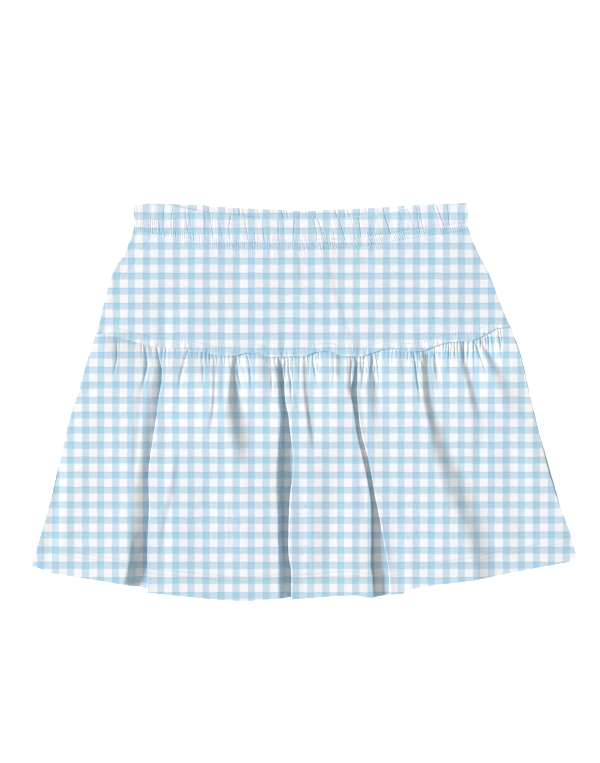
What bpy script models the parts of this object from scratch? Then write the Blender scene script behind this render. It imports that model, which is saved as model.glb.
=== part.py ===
"""A girl's gathered skort, laid flat on a table with its front up.

Metres, +Z up.  The waist points to +Y, the garment's front faces up and +X is to the viewer's right.
The origin is on the table, in the middle of the footprint.

The tables below are in millimetres, as a pattern cutter would note them on the laid-out garment:
`x` is measured to the right of the centre line, and `down` from the waist corners towards the hem.
Every cloth piece is one grid. Its columns run from waist to hem, a function lays each of its points
in its place and layer, and Solidify gives it its wall.
"""
import bmesh
import bpy
import numpy as np

COLLECTION = "gathered_skort"
MM = 0.001

# --- cloth ----------------------------------------------------------------------------------------
CLOTH = 1.0          # wall of one layer of jersey
CASING = 2.3         # wall of the waistband: two layers of jersey round a flat elastic
GAP = 0.3            # between one layer and the next, and along each seam
STEP = CLOTH + GAP   # from the middle of one layer to the middle of the next

# --- layers, as heights of the middle of the cloth above the table --------------------------------
BACK_LAYER = CLOTH / 2
SHORTS_BACK_LAYER = BACK_LAYER + STEP
SHORTS_FRONT_LAYER = SHORTS_BACK_LAYER + STEP
FRONT_LAYER = SHORTS_FRONT_LAYER + STEP
SIDE_LAYER = BACK_LAYER + STEP      # the front's side edges lie on the back's
BAND_BACK_LAYER = CASING / 2
BAND_FRONT_LAYER = BAND_BACK_LAYER + CASING + GAP
FRONT_CREST = 11.0                  # the front tier's panels, between its tucks
BACK_RIDGE = 2.0                    # how far the back tier's folds lift all that lies on them
LIFT_START, LIFT_END = 5.0, 60.0    # below the yoke seam: where folds begin and where they are full
CREST_START = 22.0                  # below the yoke seam: where the gathers' first swell ends
YOKE_ROLL = 13.0                    # width over which the yoke rolls down to its side seams
TIER_ROLL = 45.0                    # the same for the tier, well below the yoke seam

# --- waistband ------------------------------------------------------------------------------------
BAND_GATHERS = 27    # gathers of the elastic across one side of the band
GATHER_RISE = 0.5


def table(columns, *rows):
    """A table with named columns, kept as one list of numbers under each name."""
    return dict(zip(columns.split(), np.array(rows, float).T))


# The side seams, out from the centre line.
SIDE = table(
    "down left right",
    (-2, 141.0, 141.0),
    (15, 140.5, 140.6),
    (25, 143.1, 143.1),
    (41, 149.0, 149.0),
    (61, 160.0, 159.2),
    (81, 165.1, 166.8),
    (106, 172.5, 177.5),
    (127, 178.5, 184.8),
    (158, 187.2, 192.2),
    (188, 196.5, 199.6),
    (218, 204.1, 206.8),
    (249, 211.0, 216.4),
    (279, 219.7, 227.8),
    (306, 227.8, 235.0),
)

# The band's top edge at the back, the lower one at the front, and its stitched foot.
BAND = table(
    "x back_top front_top foot",
    (-141, 0.6, 0.6, 22.9),
    (-97, 0.2, 4.0, 29.8),
    (-72, 2.2, 7.8, 35.6),
    (-40, 4.1, 12.2, 38.2),
    (0, 5.8, 12.2, 38.9),
    (40, 4.1, 11.4, 36.5),
    (72, 2.3, 7.0, 32.1),
    (96, 0.5, 2.0, 28.1),
    (141, -1.0, -1.0, 22.0),
)

# The seam between the front's yoke and tier.
SEAM = table(
    "x down",
    (-173, 109.6),
    (-152, 113.5),
    (-128, 120.3),
    (-97, 122.7),
    (-63, 128.3),
    (-42, 126.0),
    (-26, 129.5),
    (4, 128.3),
    (24, 124.7),
    (42, 129.2),
    (71, 123.3),
    (102, 124.6),
    (125, 117.3),
    (148, 114.8),
    (177, 104.2),
)

# The front tier's hem. A tuck parts one panel from the next, and the hem may step there.
HEM = table(
    "panel x down",
    (0, -227.8, 305.6),
    (0, -210, 312.4),
    (0, -176, 317.6),
    (0, -131, 325.2),
    (1, -129, 328.8),
    (1, -70, 334.6),
    (1, -47, 335.9),
    (1, -9, 332.6),
    (2, -8, 334.4),
    (2, 28, 331.4),
    (2, 46, 330.7),
    (2, 61, 332.9),
    (3, 61, 332.9),
    (3, 75, 329.9),
    (4, 75, 329.9),
    (4, 88, 328.0),
    (4, 101, 323.7),
    (4, 146, 318.2),
    (4, 200, 307.6),
    (4, 226, 301.4),
    (4, 233.8, 295.4),
)

# The front tier's tucks: x of the lapping cloth's edge at each level down.
TUCKS = table(
    "down left centre right_inner right_outer",
    (122, -121.0, -14.4, 44.8, 48.0),
    (150, -117.2, -14.2, 42.4, 48.0),
    (180, -122.0, -13.2, 45.4, 49.8),
    (210, -126.6, -8.3, 53.0, 54.8),
    (240, -129.0, -9.1, 58.5, 61.4),
    (270, -129.0, -10.6, 59.9, 67.2),
    (300, -130.3, -10.0, 60.0, 72.0),
    (332, -128.7, -7.6, 61.2, 74.5),
)
# From left to right, 1 where the right cloth laps over the left and -1 where the left one does.
LAPS = {"left": 1, "centre": 1, "right_inner": -1, "right_outer": 1}
FULL_TURN = 180.0    # degrees that the cloth turns back in a finished tuck
TUCK_FULL = 48.0     # below the yoke seam, where a tuck has turned all the way
TUCK_SPREAD = 5.0    # width of a tuck at the yoke seam, which flattens it
TUCK_HOLD = 0.25     # share of a tuck's cloth that lies straight between its turns, at the hem
TURN_RISE = 0.472    # rise of a finished tuck for each millimetre of cloth in its turns
TUCK_COLUMNS = 10
PANEL_COLUMNS = (12, 16, 9, 2, 20)
SIDE_CROWDING = 1.4  # how strongly the columns crowd towards the side seams

# The low channel on a tuck's open side: its flat floor, and its width at the seam and at the hem.
CHANNEL_FLAT, CHANNEL_TOP, CHANNEL_HEM = 2.5, 6.0, 15.0

# Soft troughs pressed into the panels. `reach` is half the width, and `depth` is a share of the
# height that the panel has above the channels' floor.
TROUGHS = table(
    "x_top down_top x_foot down_foot reach depth",
    (-154, 112, -156, 150, 7, 0.45),
    (-74, 124, -75, 176, 8, 0.45),
    (-55, 124, -50, 210, 11, 0.85),
    (3, 126, 9, 204, 8, 0.60),
    (59, 124, 59, 196, 8, 0.60),
    (100, 120, 112, 212, 11, 0.90),
    (109, 188, 151, 334, 16, 0.80),
    (137, 114, 149, 190, 8, 0.60),
    (148, 110, 170, 152, 7, 0.50),
)

# The back tier's folds. They run inwards, so that the rest of it lies flat on the table.
BACK_FOLDS = table(
    "x_seam x_hem reach rise",
    (-138, -176, 13, 0.9),
    (-96, -116, 11, 1.0),
    (-41, -62, 14, 0.7),
    (14, 9, 12, 1.0),
    (62, 84, 14, 0.9),
    (112, 138, 11, 0.8),
    (146, 188, 12, 0.7),
)
FOLD_PLACES = (-1, -0.5, 0, 0.5, 1)              # columns across one fold, in units of its reach
BACK_SEAM_LOW, BACK_SEAM_RISE = 128.0, 21.0      # at the centre line, and the rise to the sides
BACK_HEM_LOW, BACK_HEM_LEFT, BACK_HEM_RIGHT = 332.0, 304.5, 294.5

BACK_STATIONS = np.linspace(SEAM["x"].min(), SEAM["x"].max(), 21)

# One leg of the shorts, out from the centre line.
LEG = table(
    "down inner outer",
    (24, 0.15, 127.0),
    (60, 0.15, 137.0),
    (110, 0.15, 145.0),
    (165, 0.15, 150.0),
    (200, 0.15, 152.5),
    (210, 5.0, 153.0),
    (240, 12.0, 155.5),
    (281, 20.0, 159.0),
)
LEG_HEM = 280.0
BEYOND_LEG = 36.0    # past the legs' hem, where the channels have come down to the back

# The middle of the footprint, which is the model's origin.
MIDDLE_X = (HEM["x"].max() + HEM["x"].min()) / 2
MIDDLE_DOWN = (HEM["down"].max() + BAND["back_top"].min()) / 2

PALE_GINGHAM = (0.66, 0.80, 0.88, 1.0)
WHITE_JERSEY = (0.85, 0.86, 0.88, 1.0)


# --- reading the tables ---------------------------------------------------------------------------
def curve(rows, along, of, at):
    """Column `of` where column `along` is `at`, on a curve through the rows that never overshoots."""
    x, y = rows[along], rows[of]
    climbs = np.diff(y) / np.diff(x)
    turns = climbs[:-1] * climbs[1:]
    even = 2 * turns / np.where(turns > 0, climbs[:-1] + climbs[1:], 1)
    slope = np.concatenate([climbs[:1], np.where(turns > 0, even, 0), climbs[-1:]])
    i = int(np.clip(np.searchsorted(x, at) - 1, 0, len(x) - 2))
    width, climb = x[i + 1] - x[i], y[i + 1] - y[i]
    t = float(np.clip((at - x[i]) / width, 0, 1))
    bulge = (slope[i] * width - climb) * (1 - t) - (slope[i + 1] * width - climb) * t
    return float(y[i] + climb * t + bulge * t * (1 - t))


def ease(start, end, at):
    """0 at `start` and 1 at `end`, level at both."""
    t = float(np.clip((at - start) / (end - start), 0, 1))
    return t * t * (3 - 2 * t)


def blend(a, b, share):
    return a + (b - a) * share


def band_foot(x):
    return curve(BAND, "x", "foot", x)


def seam_down(x):
    return curve(SEAM, "x", "down", x)


def back_seam_down(x):
    return BACK_SEAM_LOW - BACK_SEAM_RISE * (x / SEAM["x"].max()) ** 2


def side(x, down):
    """x of the side seam on the side of `x`, at this level."""
    return -curve(SIDE, "down", "left", down) if x < 0 else curve(SIDE, "down", "right", down)


def across(down, share):
    """x at a share of the way from the left side seam to the right one."""
    return blend(side(-1, down), side(1, down), share)


def crossing(line, share):
    """How far down a line across the garment is, at a share of the way between the side seams."""
    down = line(0)
    for _ in range(4):
        down = line(across(down, share))
    return down


# --- heights --------------------------------------------------------------------------------------
def fold_lift(x, down):
    """0 at the yoke seam, and 1 where the tier's folds are full."""
    return ease(LIFT_START, LIFT_END, down - back_seam_down(x))


def rolled(x, down, height, roll):
    """A front layer's height, rolled down to its edge on the back layer."""
    inward = float(np.clip(abs(side(x, down) - x) / roll, 0, 1))
    return blend(SIDE_LAYER, height, np.sin(inward * np.pi / 2))


def yoke_height(x, down):
    return rolled(x, down, FRONT_LAYER, YOKE_ROLL)


def tier_heights(x, down):
    """The front tier's lowest and highest cloth at a place: the channels' floor and the crest."""
    lift = fold_lift(x, down)
    beyond_legs = ease(LEG_HEM, LEG_HEM + BEYOND_LEG, down)
    floor = FRONT_LAYER + BACK_RIDGE * (lift - beyond_legs)
    below = down - seam_down(x)
    swell = blend(ease(0, CREST_START, below), ease(0, LIFT_END, below), 0.55)
    crest = rolled(x, down, blend(FRONT_LAYER, FRONT_CREST, swell), blend(YOKE_ROLL, TIER_ROLL, lift))
    return min(floor, crest), crest


def trough_depth(x, down):
    """How far the soft troughs press the cloth down here, from 0 to 1."""
    standing = 1.0
    for x_top, down_top, x_foot, down_foot, reach, depth in zip(*TROUGHS.values()):
        share = (down - down_top) / (down_foot - down_top)
        fade = ease(-0.02, 0.12, share) * (1 - ease(0.72, 1.08, share))
        off = abs(x - blend(x_top, x_foot, share)) / reach
        standing *= 1 - depth * fade * (1 - ease(0, 1, off))
    return 1 - standing


# --- making cloth ---------------------------------------------------------------------------------
def material(name, colour):
    made = bpy.data.materials.new(name)
    made.use_nodes = True
    shader = made.node_tree.nodes["Principled BSDF"]
    shader.inputs["Base Color"].default_value = colour
    shader.inputs["Roughness"].default_value = 0.85
    shader.inputs["Metallic"].default_value = 0.0
    made.diffuse_color = colour
    return made


def cloth(name, columns, rows, place, wall, colour):
    """One cloth piece. `place(column, row)` gives x, down and height in mm, with row 0 at the waist."""
    grid = bmesh.new()
    bmesh.ops.create_grid(grid, x_segments=columns, y_segments=rows, size=1.0)
    for point in grid.verts:
        column = round((1 + point.co.x) / 2 * columns)
        row = round((1 - point.co.y) / 2 * rows)
        x, down, height = place(column, row)
        point.co = ((x - MIDDLE_X) * MM, (MIDDLE_DOWN - down) * MM, height * MM)
    mesh = bpy.data.meshes.new(name)
    grid.to_mesh(mesh)
    grid.free()
    mesh.shade_smooth()
    mesh.materials.append(material(name + "_cloth", colour))
    piece = bpy.data.objects.new(name, mesh)
    bpy.data.collections[COLLECTION].objects.link(piece)
    wall_maker = piece.modifiers.new("wall", "SOLIDIFY")
    wall_maker.thickness = wall * MM
    wall_maker.offset = 0.0
    return piece


# --- waistband ------------------------------------------------------------------------------------
def make_waistband(name, top_edge, layer, gather_rise):
    columns, rows = 2 * BAND_GATHERS, 2

    def place(column, row):
        share = column / columns
        top = crossing(lambda x: curve(BAND, "x", top_edge, x), share)
        down = blend(top, crossing(band_foot, share) - GAP / 2, row / rows)
        return across(down, share), down, layer + gather_rise * (column % 2)

    cloth(name, columns, rows, place, CASING, PALE_GINGHAM)


# --- yoke -----------------------------------------------------------------------------------------
def make_yoke(name, seam, stations, height):
    """The stations are the x at which its columns meet the seam."""
    rows = 4

    def place(column, row):
        x = stations[column]
        foot = seam(x) - GAP / 2
        share = (x - side(-1, foot)) / (side(1, foot) - side(-1, foot))
        share = float(np.clip(share, 0, 1))
        down = blend(crossing(band_foot, share) + GAP / 2, foot, row / rows)
        x = across(down, share)
        return x, down, height(x, down)

    cloth(name, len(stations) - 1, rows, place, CLOTH, PALE_GINGHAM)


# --- shorts ---------------------------------------------------------------------------------------
def make_leg(name, way, layer):
    """Half of the shorts' front or back. `way` is -1 for the leg on the left and 1 on the right."""
    columns, rows = 8, 7

    def place(column, row):
        outward = column / columns if way > 0 else 1 - column / columns
        waist = way * blend(LEG["inner"][0], LEG["outer"][0], outward)
        down = blend(band_foot(waist) + 2 * GAP, LEG_HEM, row / rows)
        x = way * blend(curve(LEG, "down", "inner", down), curve(LEG, "down", "outer", down), outward)
        return x, down, layer + BACK_RIDGE * fold_lift(x, down)

    cloth(name, columns, rows, place, CLOTH, WHITE_JERSEY)


# --- back tier ------------------------------------------------------------------------------------
def halfway(column, other):
    return tuple(blend(a, b, 0.5) for a, b in zip(column, other))


def make_back_tier():
    """Columns stand on every fold, with one between neighbours, and run from seam to hem."""
    first = (side(-1, back_seam_down(SEAM["x"].min())), side(-1, BACK_HEM_LEFT), 0.0)
    last = (side(1, back_seam_down(SEAM["x"].max())), side(1, BACK_HEM_RIGHT), 0.0)
    columns = [first]
    for x_seam, x_hem, reach, rise in zip(*BACK_FOLDS.values()):
        fold_start = (x_seam - reach, x_hem - reach, 0.0)
        columns.append(halfway(columns[-1], fold_start))
        for place in FOLD_PLACES:
            ridge = rise * (1 - ease(0, 1, abs(place)))
            columns.append((x_seam + place * reach, x_hem + place * reach, ridge))
    columns += [halfway(columns[-1], last), last]
    rows = 6

    def place(column, row):
        x_seam, x_hem, ridge = columns[column]
        corner = BACK_HEM_LEFT if x_hem < 0 else BACK_HEM_RIGHT
        hem = blend(BACK_HEM_LOW, corner, (x_hem / side(x_hem, corner)) ** 2)
        down = blend(back_seam_down(x_seam) + GAP / 2, hem, row / rows)
        x = blend(x_seam, x_hem, row / rows)
        if column in (0, len(columns) - 1):
            x = side(x, down)
        return x, down, BACK_LAYER + BACK_RIDGE * ridge * fold_lift(x, down)

    cloth("tier_back", len(columns) - 1, rows, place, CLOTH, PALE_GINGHAM)


# --- front tier -----------------------------------------------------------------------------------
def tuck_section(turn, hold):
    """The path of the cloth through a tuck, from the channel's floor to the panel that laps over it.

    Its heading swings up to `turn` degrees, holds there for a share of the way and swings back.
    The shift along x is for a path of length 1, with the lapping edge at 0, and the rise is scaled
    to 1. Both are given at each of the tuck's columns.
    """
    fine = np.linspace(0, 1, 241)
    middles = (fine[1:] + fine[:-1]) / 2
    swing = np.clip(2 * np.minimum(middles, 1 - middles) / (1 - hold), 0, 1)
    heading = np.radians(max(turn, 1.0)) * (1 - np.cos(np.pi * swing)) / 2
    shift = np.append(0, np.cumsum(np.cos(heading))) / len(middles)
    rise = np.append(0, np.cumsum(np.sin(heading)))
    lapping_edge = (0.75 + 0.25 * hold) * ease(FULL_TURN / 3, FULL_TURN, turn)
    shift -= np.interp(lapping_edge, fine, shift)
    at = np.linspace(0, 1, TUCK_COLUMNS)
    return np.interp(at, fine, shift), np.interp(at, fine, rise / rise[-1])


def hem_down(panel, x):
    rows = HEM["panel"] == panel
    return float(np.interp(x, HEM["x"][rows], HEM["down"][rows]))


def tuck_edge(name, down):
    return curve(TUCKS, "down", name, down)


def tuck_points(order, name, fall):
    """One tuck's points from left to right, at a share `fall` of the way from seam to hem."""
    seam_edge, hem_edge = tuck_edge(name, TUCKS["down"][0]), tuck_edge(name, TUCKS["down"][-1])
    hems = hem_down(order, hem_edge), hem_down(order + 1, hem_edge)
    turned = ease(0, TUCK_FULL, (sum(hems) / 2 - seam_down(seam_edge)) * fall)
    hold = TUCK_HOLD * fall
    shifts, rises = tuck_section(FULL_TURN * turned, hold)
    shares = np.linspace(0, 1, TUCK_COLUMNS)
    seams = [seam_down(seam_edge + TUCK_SPREAD * share) for share in shares]
    if LAPS[name] < 0:
        shifts, rises = -shifts[::-1], rises[::-1]
        seams = [seam_down(seam_edge - TUCK_SPREAD * share) for share in shares[::-1]]
    points = []
    for share, seam, shift, rise in zip(shares, seams, shifts, rises):
        down = blend(seam + GAP / 2, blend(*hems, share), fall)
        edge = tuck_edge(name, down)
        floor, crest = tier_heights(edge, down)
        path = blend(TUCK_SPREAD, (crest - floor) / TURN_RISE / (1 - hold), turned)
        points.append((edge + path * shift, down, blend(floor, crest, rise)))
    return points


def panel_ends(fall):
    """x of both ends of every panel between the tucks, at a share of the way from seam to hem."""
    tucks = [tuck_points(order, name, fall) for order, name in enumerate(LAPS)]
    side_downs = (
        blend(seam_down(SEAM["x"].min()), HEM["down"][0], fall),
        blend(seam_down(SEAM["x"].max()), HEM["down"][-1], fall),
    )
    lefts = [side(-1, side_downs[0])] + [points[-1][0] for points in tucks]
    rights = [points[0][0] for points in tucks] + [side(1, side_downs[1])]
    return list(zip(lefts, rights))


def panel_shares(panel):
    """Where a panel's columns stand between its ends: closer together towards a side seam."""
    shares = np.linspace(0, 1, PANEL_COLUMNS[panel] + 1)
    if panel == 0:
        return shares ** SIDE_CROWDING
    if panel == len(LAPS):
        return 1 - (1 - shares) ** SIDE_CROWDING
    return shares


def seam_stations():
    """x of the front tier's columns at the yoke seam, less those inside its tucks."""
    stations = []
    for panel, ends in enumerate(panel_ends(0)):
        stations += [blend(*ends, share) for share in panel_shares(panel)]
    return stations


def channel_edges(panel):
    """The tucks whose low channel lies on this panel."""
    names = list(LAPS)
    edges = []
    if panel > 0 and LAPS[names[panel - 1]] < 0:
        edges.append(names[panel - 1])
    if panel < len(names) and LAPS[names[panel]] > 0:
        edges.append(names[panel])
    return edges


def panel_points(panel, fall):
    """One panel's points between its ends, and its outer end too where that is a side seam."""
    shares = panel_shares(panel)
    if panel > 0:
        shares = shares[1:]
    if panel < len(LAPS):
        shares = shares[:-1]
    at_seam, at_hem, here = panel_ends(0)[panel], panel_ends(1)[panel], panel_ends(fall)[panel]
    channel = blend(CHANNEL_TOP, CHANNEL_HEM, fall)
    points = []
    for share in shares:
        seam = seam_down(blend(*at_seam, share)) + GAP / 2
        down = blend(seam, hem_down(panel, blend(*at_hem, share)), fall)
        x = blend(*here, share)
        floor, crest = tier_heights(x, down)
        standing = 1 - trough_depth(x, down)
        for name in channel_edges(panel):
            standing *= ease(CHANNEL_FLAT, channel, abs(x - tuck_edge(name, down)))
        points.append((x, down, blend(floor, crest, standing)))
    return points


def make_front_tier():
    """Rows stand closer together below the yoke seam, where the gathers open into tucks."""
    rows = []
    for fall in (0, 0.035, 0.08, 0.13, 0.19, 0.26, 0.36, 0.48, 0.6, 0.73, 0.86, 1):
        row = []
        for panel in range(len(PANEL_COLUMNS)):
            row += panel_points(panel, fall)
            if panel < len(LAPS):
                row += tuck_points(panel, list(LAPS)[panel], fall)
        rows.append(row)
    cloth("tier_front", len(rows[0]) - 1, len(rows) - 1,
          lambda column, row: rows[row][column], CLOTH, PALE_GINGHAM)


# --- the garment ----------------------------------------------------------------------------------
for old in list(bpy.data.objects):
    bpy.data.objects.remove(old)
bpy.context.scene.collection.children.link(bpy.data.collections.new(COLLECTION))

make_waistband("waistband_back", "back_top", BAND_BACK_LAYER, 0.0)
make_waistband("waistband_front", "front_top", BAND_FRONT_LAYER, GATHER_RISE)
make_yoke("yoke_back", back_seam_down, BACK_STATIONS, lambda x, down: BACK_LAYER)
make_yoke("yoke_front", seam_down, seam_stations(), yoke_height)
make_leg("shorts_back_left", -1, SHORTS_BACK_LAYER)
make_leg("shorts_back_right", 1, SHORTS_BACK_LAYER)
make_leg("shorts_front_left", -1, SHORTS_FRONT_LAYER)
make_leg("shorts_front_right", 1, SHORTS_FRONT_LAYER)
make_back_tier()
make_front_tier()
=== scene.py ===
# %% [markdown]
# # A gathered skort, laid flat
#
# A girl's pull-on skort lies on a table with its front up. A fitted yoke hangs from an elastic
# waistband, and a wide tier is gathered onto the yoke's lower edge, so it opens into soft folds. Under
# the tier are the two legs of a pair of shorts.
#
# The solids that a workshop would check are already packed. This lesson dresses them: every panel
# becomes a thin sheet of cloth with the gathers, creases and stitches that the plain solids leave out.
# Loading the frame comes first, because every panel takes its place from it.

import math

import bpy
import numpy as np
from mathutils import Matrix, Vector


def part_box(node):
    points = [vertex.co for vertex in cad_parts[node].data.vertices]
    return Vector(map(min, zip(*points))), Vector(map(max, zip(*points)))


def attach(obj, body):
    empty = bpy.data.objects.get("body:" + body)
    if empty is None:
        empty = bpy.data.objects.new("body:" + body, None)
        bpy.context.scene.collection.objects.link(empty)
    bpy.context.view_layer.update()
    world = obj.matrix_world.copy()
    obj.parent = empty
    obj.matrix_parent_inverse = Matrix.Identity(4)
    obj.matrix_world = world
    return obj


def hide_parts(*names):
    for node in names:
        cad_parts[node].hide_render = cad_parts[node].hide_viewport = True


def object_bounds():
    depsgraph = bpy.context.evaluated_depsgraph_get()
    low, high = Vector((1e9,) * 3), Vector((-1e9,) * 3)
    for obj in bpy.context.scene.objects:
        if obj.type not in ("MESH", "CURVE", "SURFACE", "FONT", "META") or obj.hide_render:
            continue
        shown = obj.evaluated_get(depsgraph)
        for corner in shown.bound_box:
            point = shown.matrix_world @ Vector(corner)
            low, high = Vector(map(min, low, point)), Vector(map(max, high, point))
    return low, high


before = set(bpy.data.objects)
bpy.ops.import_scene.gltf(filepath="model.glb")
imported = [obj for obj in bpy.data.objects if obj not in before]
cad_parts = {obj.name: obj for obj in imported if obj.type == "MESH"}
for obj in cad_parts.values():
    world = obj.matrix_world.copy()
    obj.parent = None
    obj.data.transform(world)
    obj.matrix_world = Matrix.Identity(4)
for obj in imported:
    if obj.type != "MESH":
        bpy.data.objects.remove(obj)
cad_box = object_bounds()
print("solids:", ", ".join(sorted(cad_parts)))

# %% [markdown]
# ## Measuring a garment that lies flat
#
# A pattern cutter measures a flat garment from two lines: its centre front, and the line through its
# waist corners. All sizes here are in millimetres, `x` to the right of the centre line and `down`
# towards the hem. The centre line runs between the two legs of the shorts. The waistband's back stands
# 1 mm above its corners, and that gives the other line.

# %% Where the two lines are in the frame
MM = 0.001
BAND_ABOVE_CORNERS = 1.0

left_leg, right_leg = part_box("shorts_front_left"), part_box("shorts_front_right")
CENTRE_X = (left_leg[1].x + right_leg[0].x) / 2
CORNERS_Y = cad_box[1].y - BAND_ABOVE_CORNERS * MM
print(f"centre line at x = {CENTRE_X / MM:.2f} mm, waist corners at y = {CORNERS_Y / MM:.2f} mm")


# %% [markdown]
# ## Reading a curve from a few measurements
#
# A hem or a seam is noted as a few places along it. `curve` joins them smoothly, and it never swings
# past a measured place, which a plain spline would do. `ease` is the soft step that turns one height
# of the cloth into another, and `uneven` is a seeded wobble, because nothing sewn is quite regular.

# %% Tables, curves and soft steps
def table(columns, *rows):
    return dict(zip(columns.split(), np.array(rows, float).T))


def curve(rows, along, of, at):
    x, y = rows[along], rows[of]
    climbs = np.diff(y) / np.diff(x)
    turns = climbs[:-1] * climbs[1:]
    even = 2 * turns / np.where(turns > 0, climbs[:-1] + climbs[1:], 1)
    slope = np.concatenate([climbs[:1], np.where(turns > 0, even, 0), climbs[-1:]])
    i = np.clip(np.searchsorted(x, at) - 1, 0, len(x) - 2)
    width, climb = x[i + 1] - x[i], y[i + 1] - y[i]
    t = np.clip((at - x[i]) / width, 0, 1)
    bulge = (slope[i] * width - climb) * (1 - t) - (slope[i + 1] * width - climb) * t
    return y[i] + climb * t + bulge * t * (1 - t)


def ease(start, end, at):
    t = np.clip((at - start) / (end - start), 0, 1)
    return t * t * (3 - 2 * t)


def blend(a, b, share):
    return a + (b - a) * share


def uneven(at, step, seed):
    """From -1 to 1, with bumps about `step` apart."""
    knots = np.random.default_rng(seed).uniform(-1, 1, 1024)
    knot, share = np.divmod(np.asarray(at, float) / step, 1)
    knot = knot.astype(int)
    return blend(knots[knot % 1024], knots[(knot + 1) % 1024], ease(0, 1, share))


print("a soft step is", round(float(ease(0, 4, 1)), 2), "of the way up after a quarter of its width")

# %% [markdown]
# ## The outline
#
# The side seams run out from the narrow waist to the wide hem, and they bend at the hips, where the
# yoke ends. The waistband dips in the middle, because the elastic pulls its front lower than its back.

# %% Side seams and waistband
SIDE = table(
    "down left right",
    (-2, 140.2, 139.8),
    (0.8, 140.8, 140.8),
    (6.5, 142.2, 142.0),
    (15, 140.9, 141.4),
    (25, 143.1, 143.1),
    (41, 149.8, 149.6),
    (61, 160.8, 160.0),
    (81, 166.4, 167.4),
    (106, 172.5, 177.5),
    (127, 178.5, 184.8),
    (158, 187.2, 192.2),
    (188, 196.5, 199.6),
    (218, 204.1, 206.8),
    (249, 211.0, 216.4),
    (279, 219.7, 227.8),
    (306, 227.8, 235.0),
)
BAND = table(
    "x back_top front_top foot",
    (-141, 0.6, 0.6, 22.9),
    (-126, -0.5, -0.4, 25.4),
    (-110, -0.1, 1.2, 27.9),
    (-97, 0.4, 4.0, 29.8),
    (-84, 0.7, 6.4, 33.0),
    (-78, 2.1, 7.4, 34.4),
    (-68, 2.5, 8.5, 36.0),
    (-52, 3.4, 9.9, 37.5),
    (-38, 3.9, 11.8, 38.2),
    (0, 5.8, 12.2, 38.9),
    (40, 4.1, 11.4, 36.5),
    (58, 3.2, 8.8, 34.2),
    (72, 2.3, 7.0, 32.1),
    (96, 0.5, 2.0, 28.1),
    (141, -1.0, -1.0, 22.0),
)


def side(x, down):
    left, right = curve(SIDE, "down", "left", down), curve(SIDE, "down", "right", down)
    return np.where(x < 0, -left, right)


def across(down, share):
    return blend(side(-1, down), side(1, down), share)


def crossing(line, share):
    """How far down a line across the garment is, at a share of the way between the side seams."""
    down = line(0 * share)
    for _ in range(4):
        down = line(across(down, share))
    return down


def band_foot(x):
    return curve(BAND, "x", "foot", x)


for line, down in (("waist", 0), ("hem", 306)):
    print(f"{line}: {across(down, 1) - across(down, 0):.0f} mm from side to side")

# %% [markdown]
# ## The yoke seam
#
# The tier is much wider than the yoke, so a machine gathers its top edge before the two are sewn
# together. The gathers pull unevenly, and the seam ends up gently wavy.

# %% Seam between yoke and tier, at the front and at the back
SEAM = table(
    "x down",
    (-173, 109.9),
    (-168.7, 108.9),
    (-152, 113.2),
    (-136, 117.8),
    (-122, 120.9),
    (-108.4, 121.8),
    (-97, 122.7),
    (-83.4, 125.1),
    (-69.8, 128.1),
    (-56.2, 128.3),
    (-44.9, 126.1),
    (-35.8, 126.2),
    (-26.7, 129.5),
    (-6.3, 128.9),
    (3.6, 128.4),
    (14.1, 125.3),
    (24, 124.6),
    (29, 125.6),
    (33.4, 128.4),
    (49, 129.0),
    (63.2, 125.3),
    (71, 123.2),
    (81.3, 123.2),
    (89.2, 125.0),
    (102.1, 124.7),
    (112.5, 120.8),
    (125.5, 117.2),
    (138.4, 116.0),
    (146.2, 115.0),
    (156.6, 110.5),
    (166.8, 105.3),
    (177, 104.2),
)
BACK_SEAM_LOW, BACK_SEAM_RISE = 128.0, 21.0      # at the centre line, and the rise to the sides


def seam_down(x):
    return curve(SEAM, "x", "down", x)


def back_seam_down(x):
    return BACK_SEAM_LOW - BACK_SEAM_RISE * (x / SEAM["x"].max()) ** 2


print(f"the front seam waves between {SEAM['down'].min():.0f} and {SEAM['down'].max():.0f} mm down")

# %% [markdown]
# ## Layers
#
# The cloth lies in layers: the back, the two layers of the shorts, then the front. Each layer's height
# is the middle of its cloth above the table. At the side seams the front comes down onto the back.
# The tier's folds stand highest, and they lift everything between them.

# %% Heights of the layers
CLOTH = 0.9                         # thickness of the jersey
BACK_LAYER = 0.5
SHORTS_BACK_LAYER = 1.8
SHORTS_FRONT_LAYER = 3.1
FRONT_LAYER = 4.4
SIDE_LAYER = 1.4                    # where the front's side edges meet the back's
FRONT_CREST = 13.8                  # the tier's panels, between its tucks
BACK_RIDGE = 0.6                    # how far the back tier's folds lift all that lies on them
LIFT_START, LIFT_END = 5.0, 60.0    # below the yoke seam: where folds begin and where they are full
CREST_START = 24.0                  # below the yoke seam: where the gathers' first swell ends
PUFF = 1.2                          # how far the gathers stand up just below the seam
PUFF_GROWS, PUFF_FADES = (0, 6), (8, 42)    # and where below the seam they do
EDGE_ROLL, EDGE_SHARE = 0.25, 0.75  # width of the side seams' thick edge, and its share of the height
YOKE_ROLL, TIER_ROLL = 60.0, 150.0  # width over which the rest of that height falls to the sides
LEG_HEM, BEYOND_LEG = 280.0, 20.0   # the legs' hem, and the length where the front sinks past it
HEM_FLOOR = 2.8                     # the lowest the front lies below the legs


def fold_lift(x, down):
    """0 at the yoke seam, and 1 where the tier's folds are full."""
    return ease(LIFT_START, LIFT_END, down - back_seam_down(x))


def rolled(x, down, height, roll):
    inward = abs(side(x, down) - x)
    edge, slope = (np.sin(np.clip(inward / width, 0, 1) * np.pi / 2) for width in (EDGE_ROLL, roll))
    return blend(SIDE_LAYER, height, blend(slope, edge, EDGE_SHARE))


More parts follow.
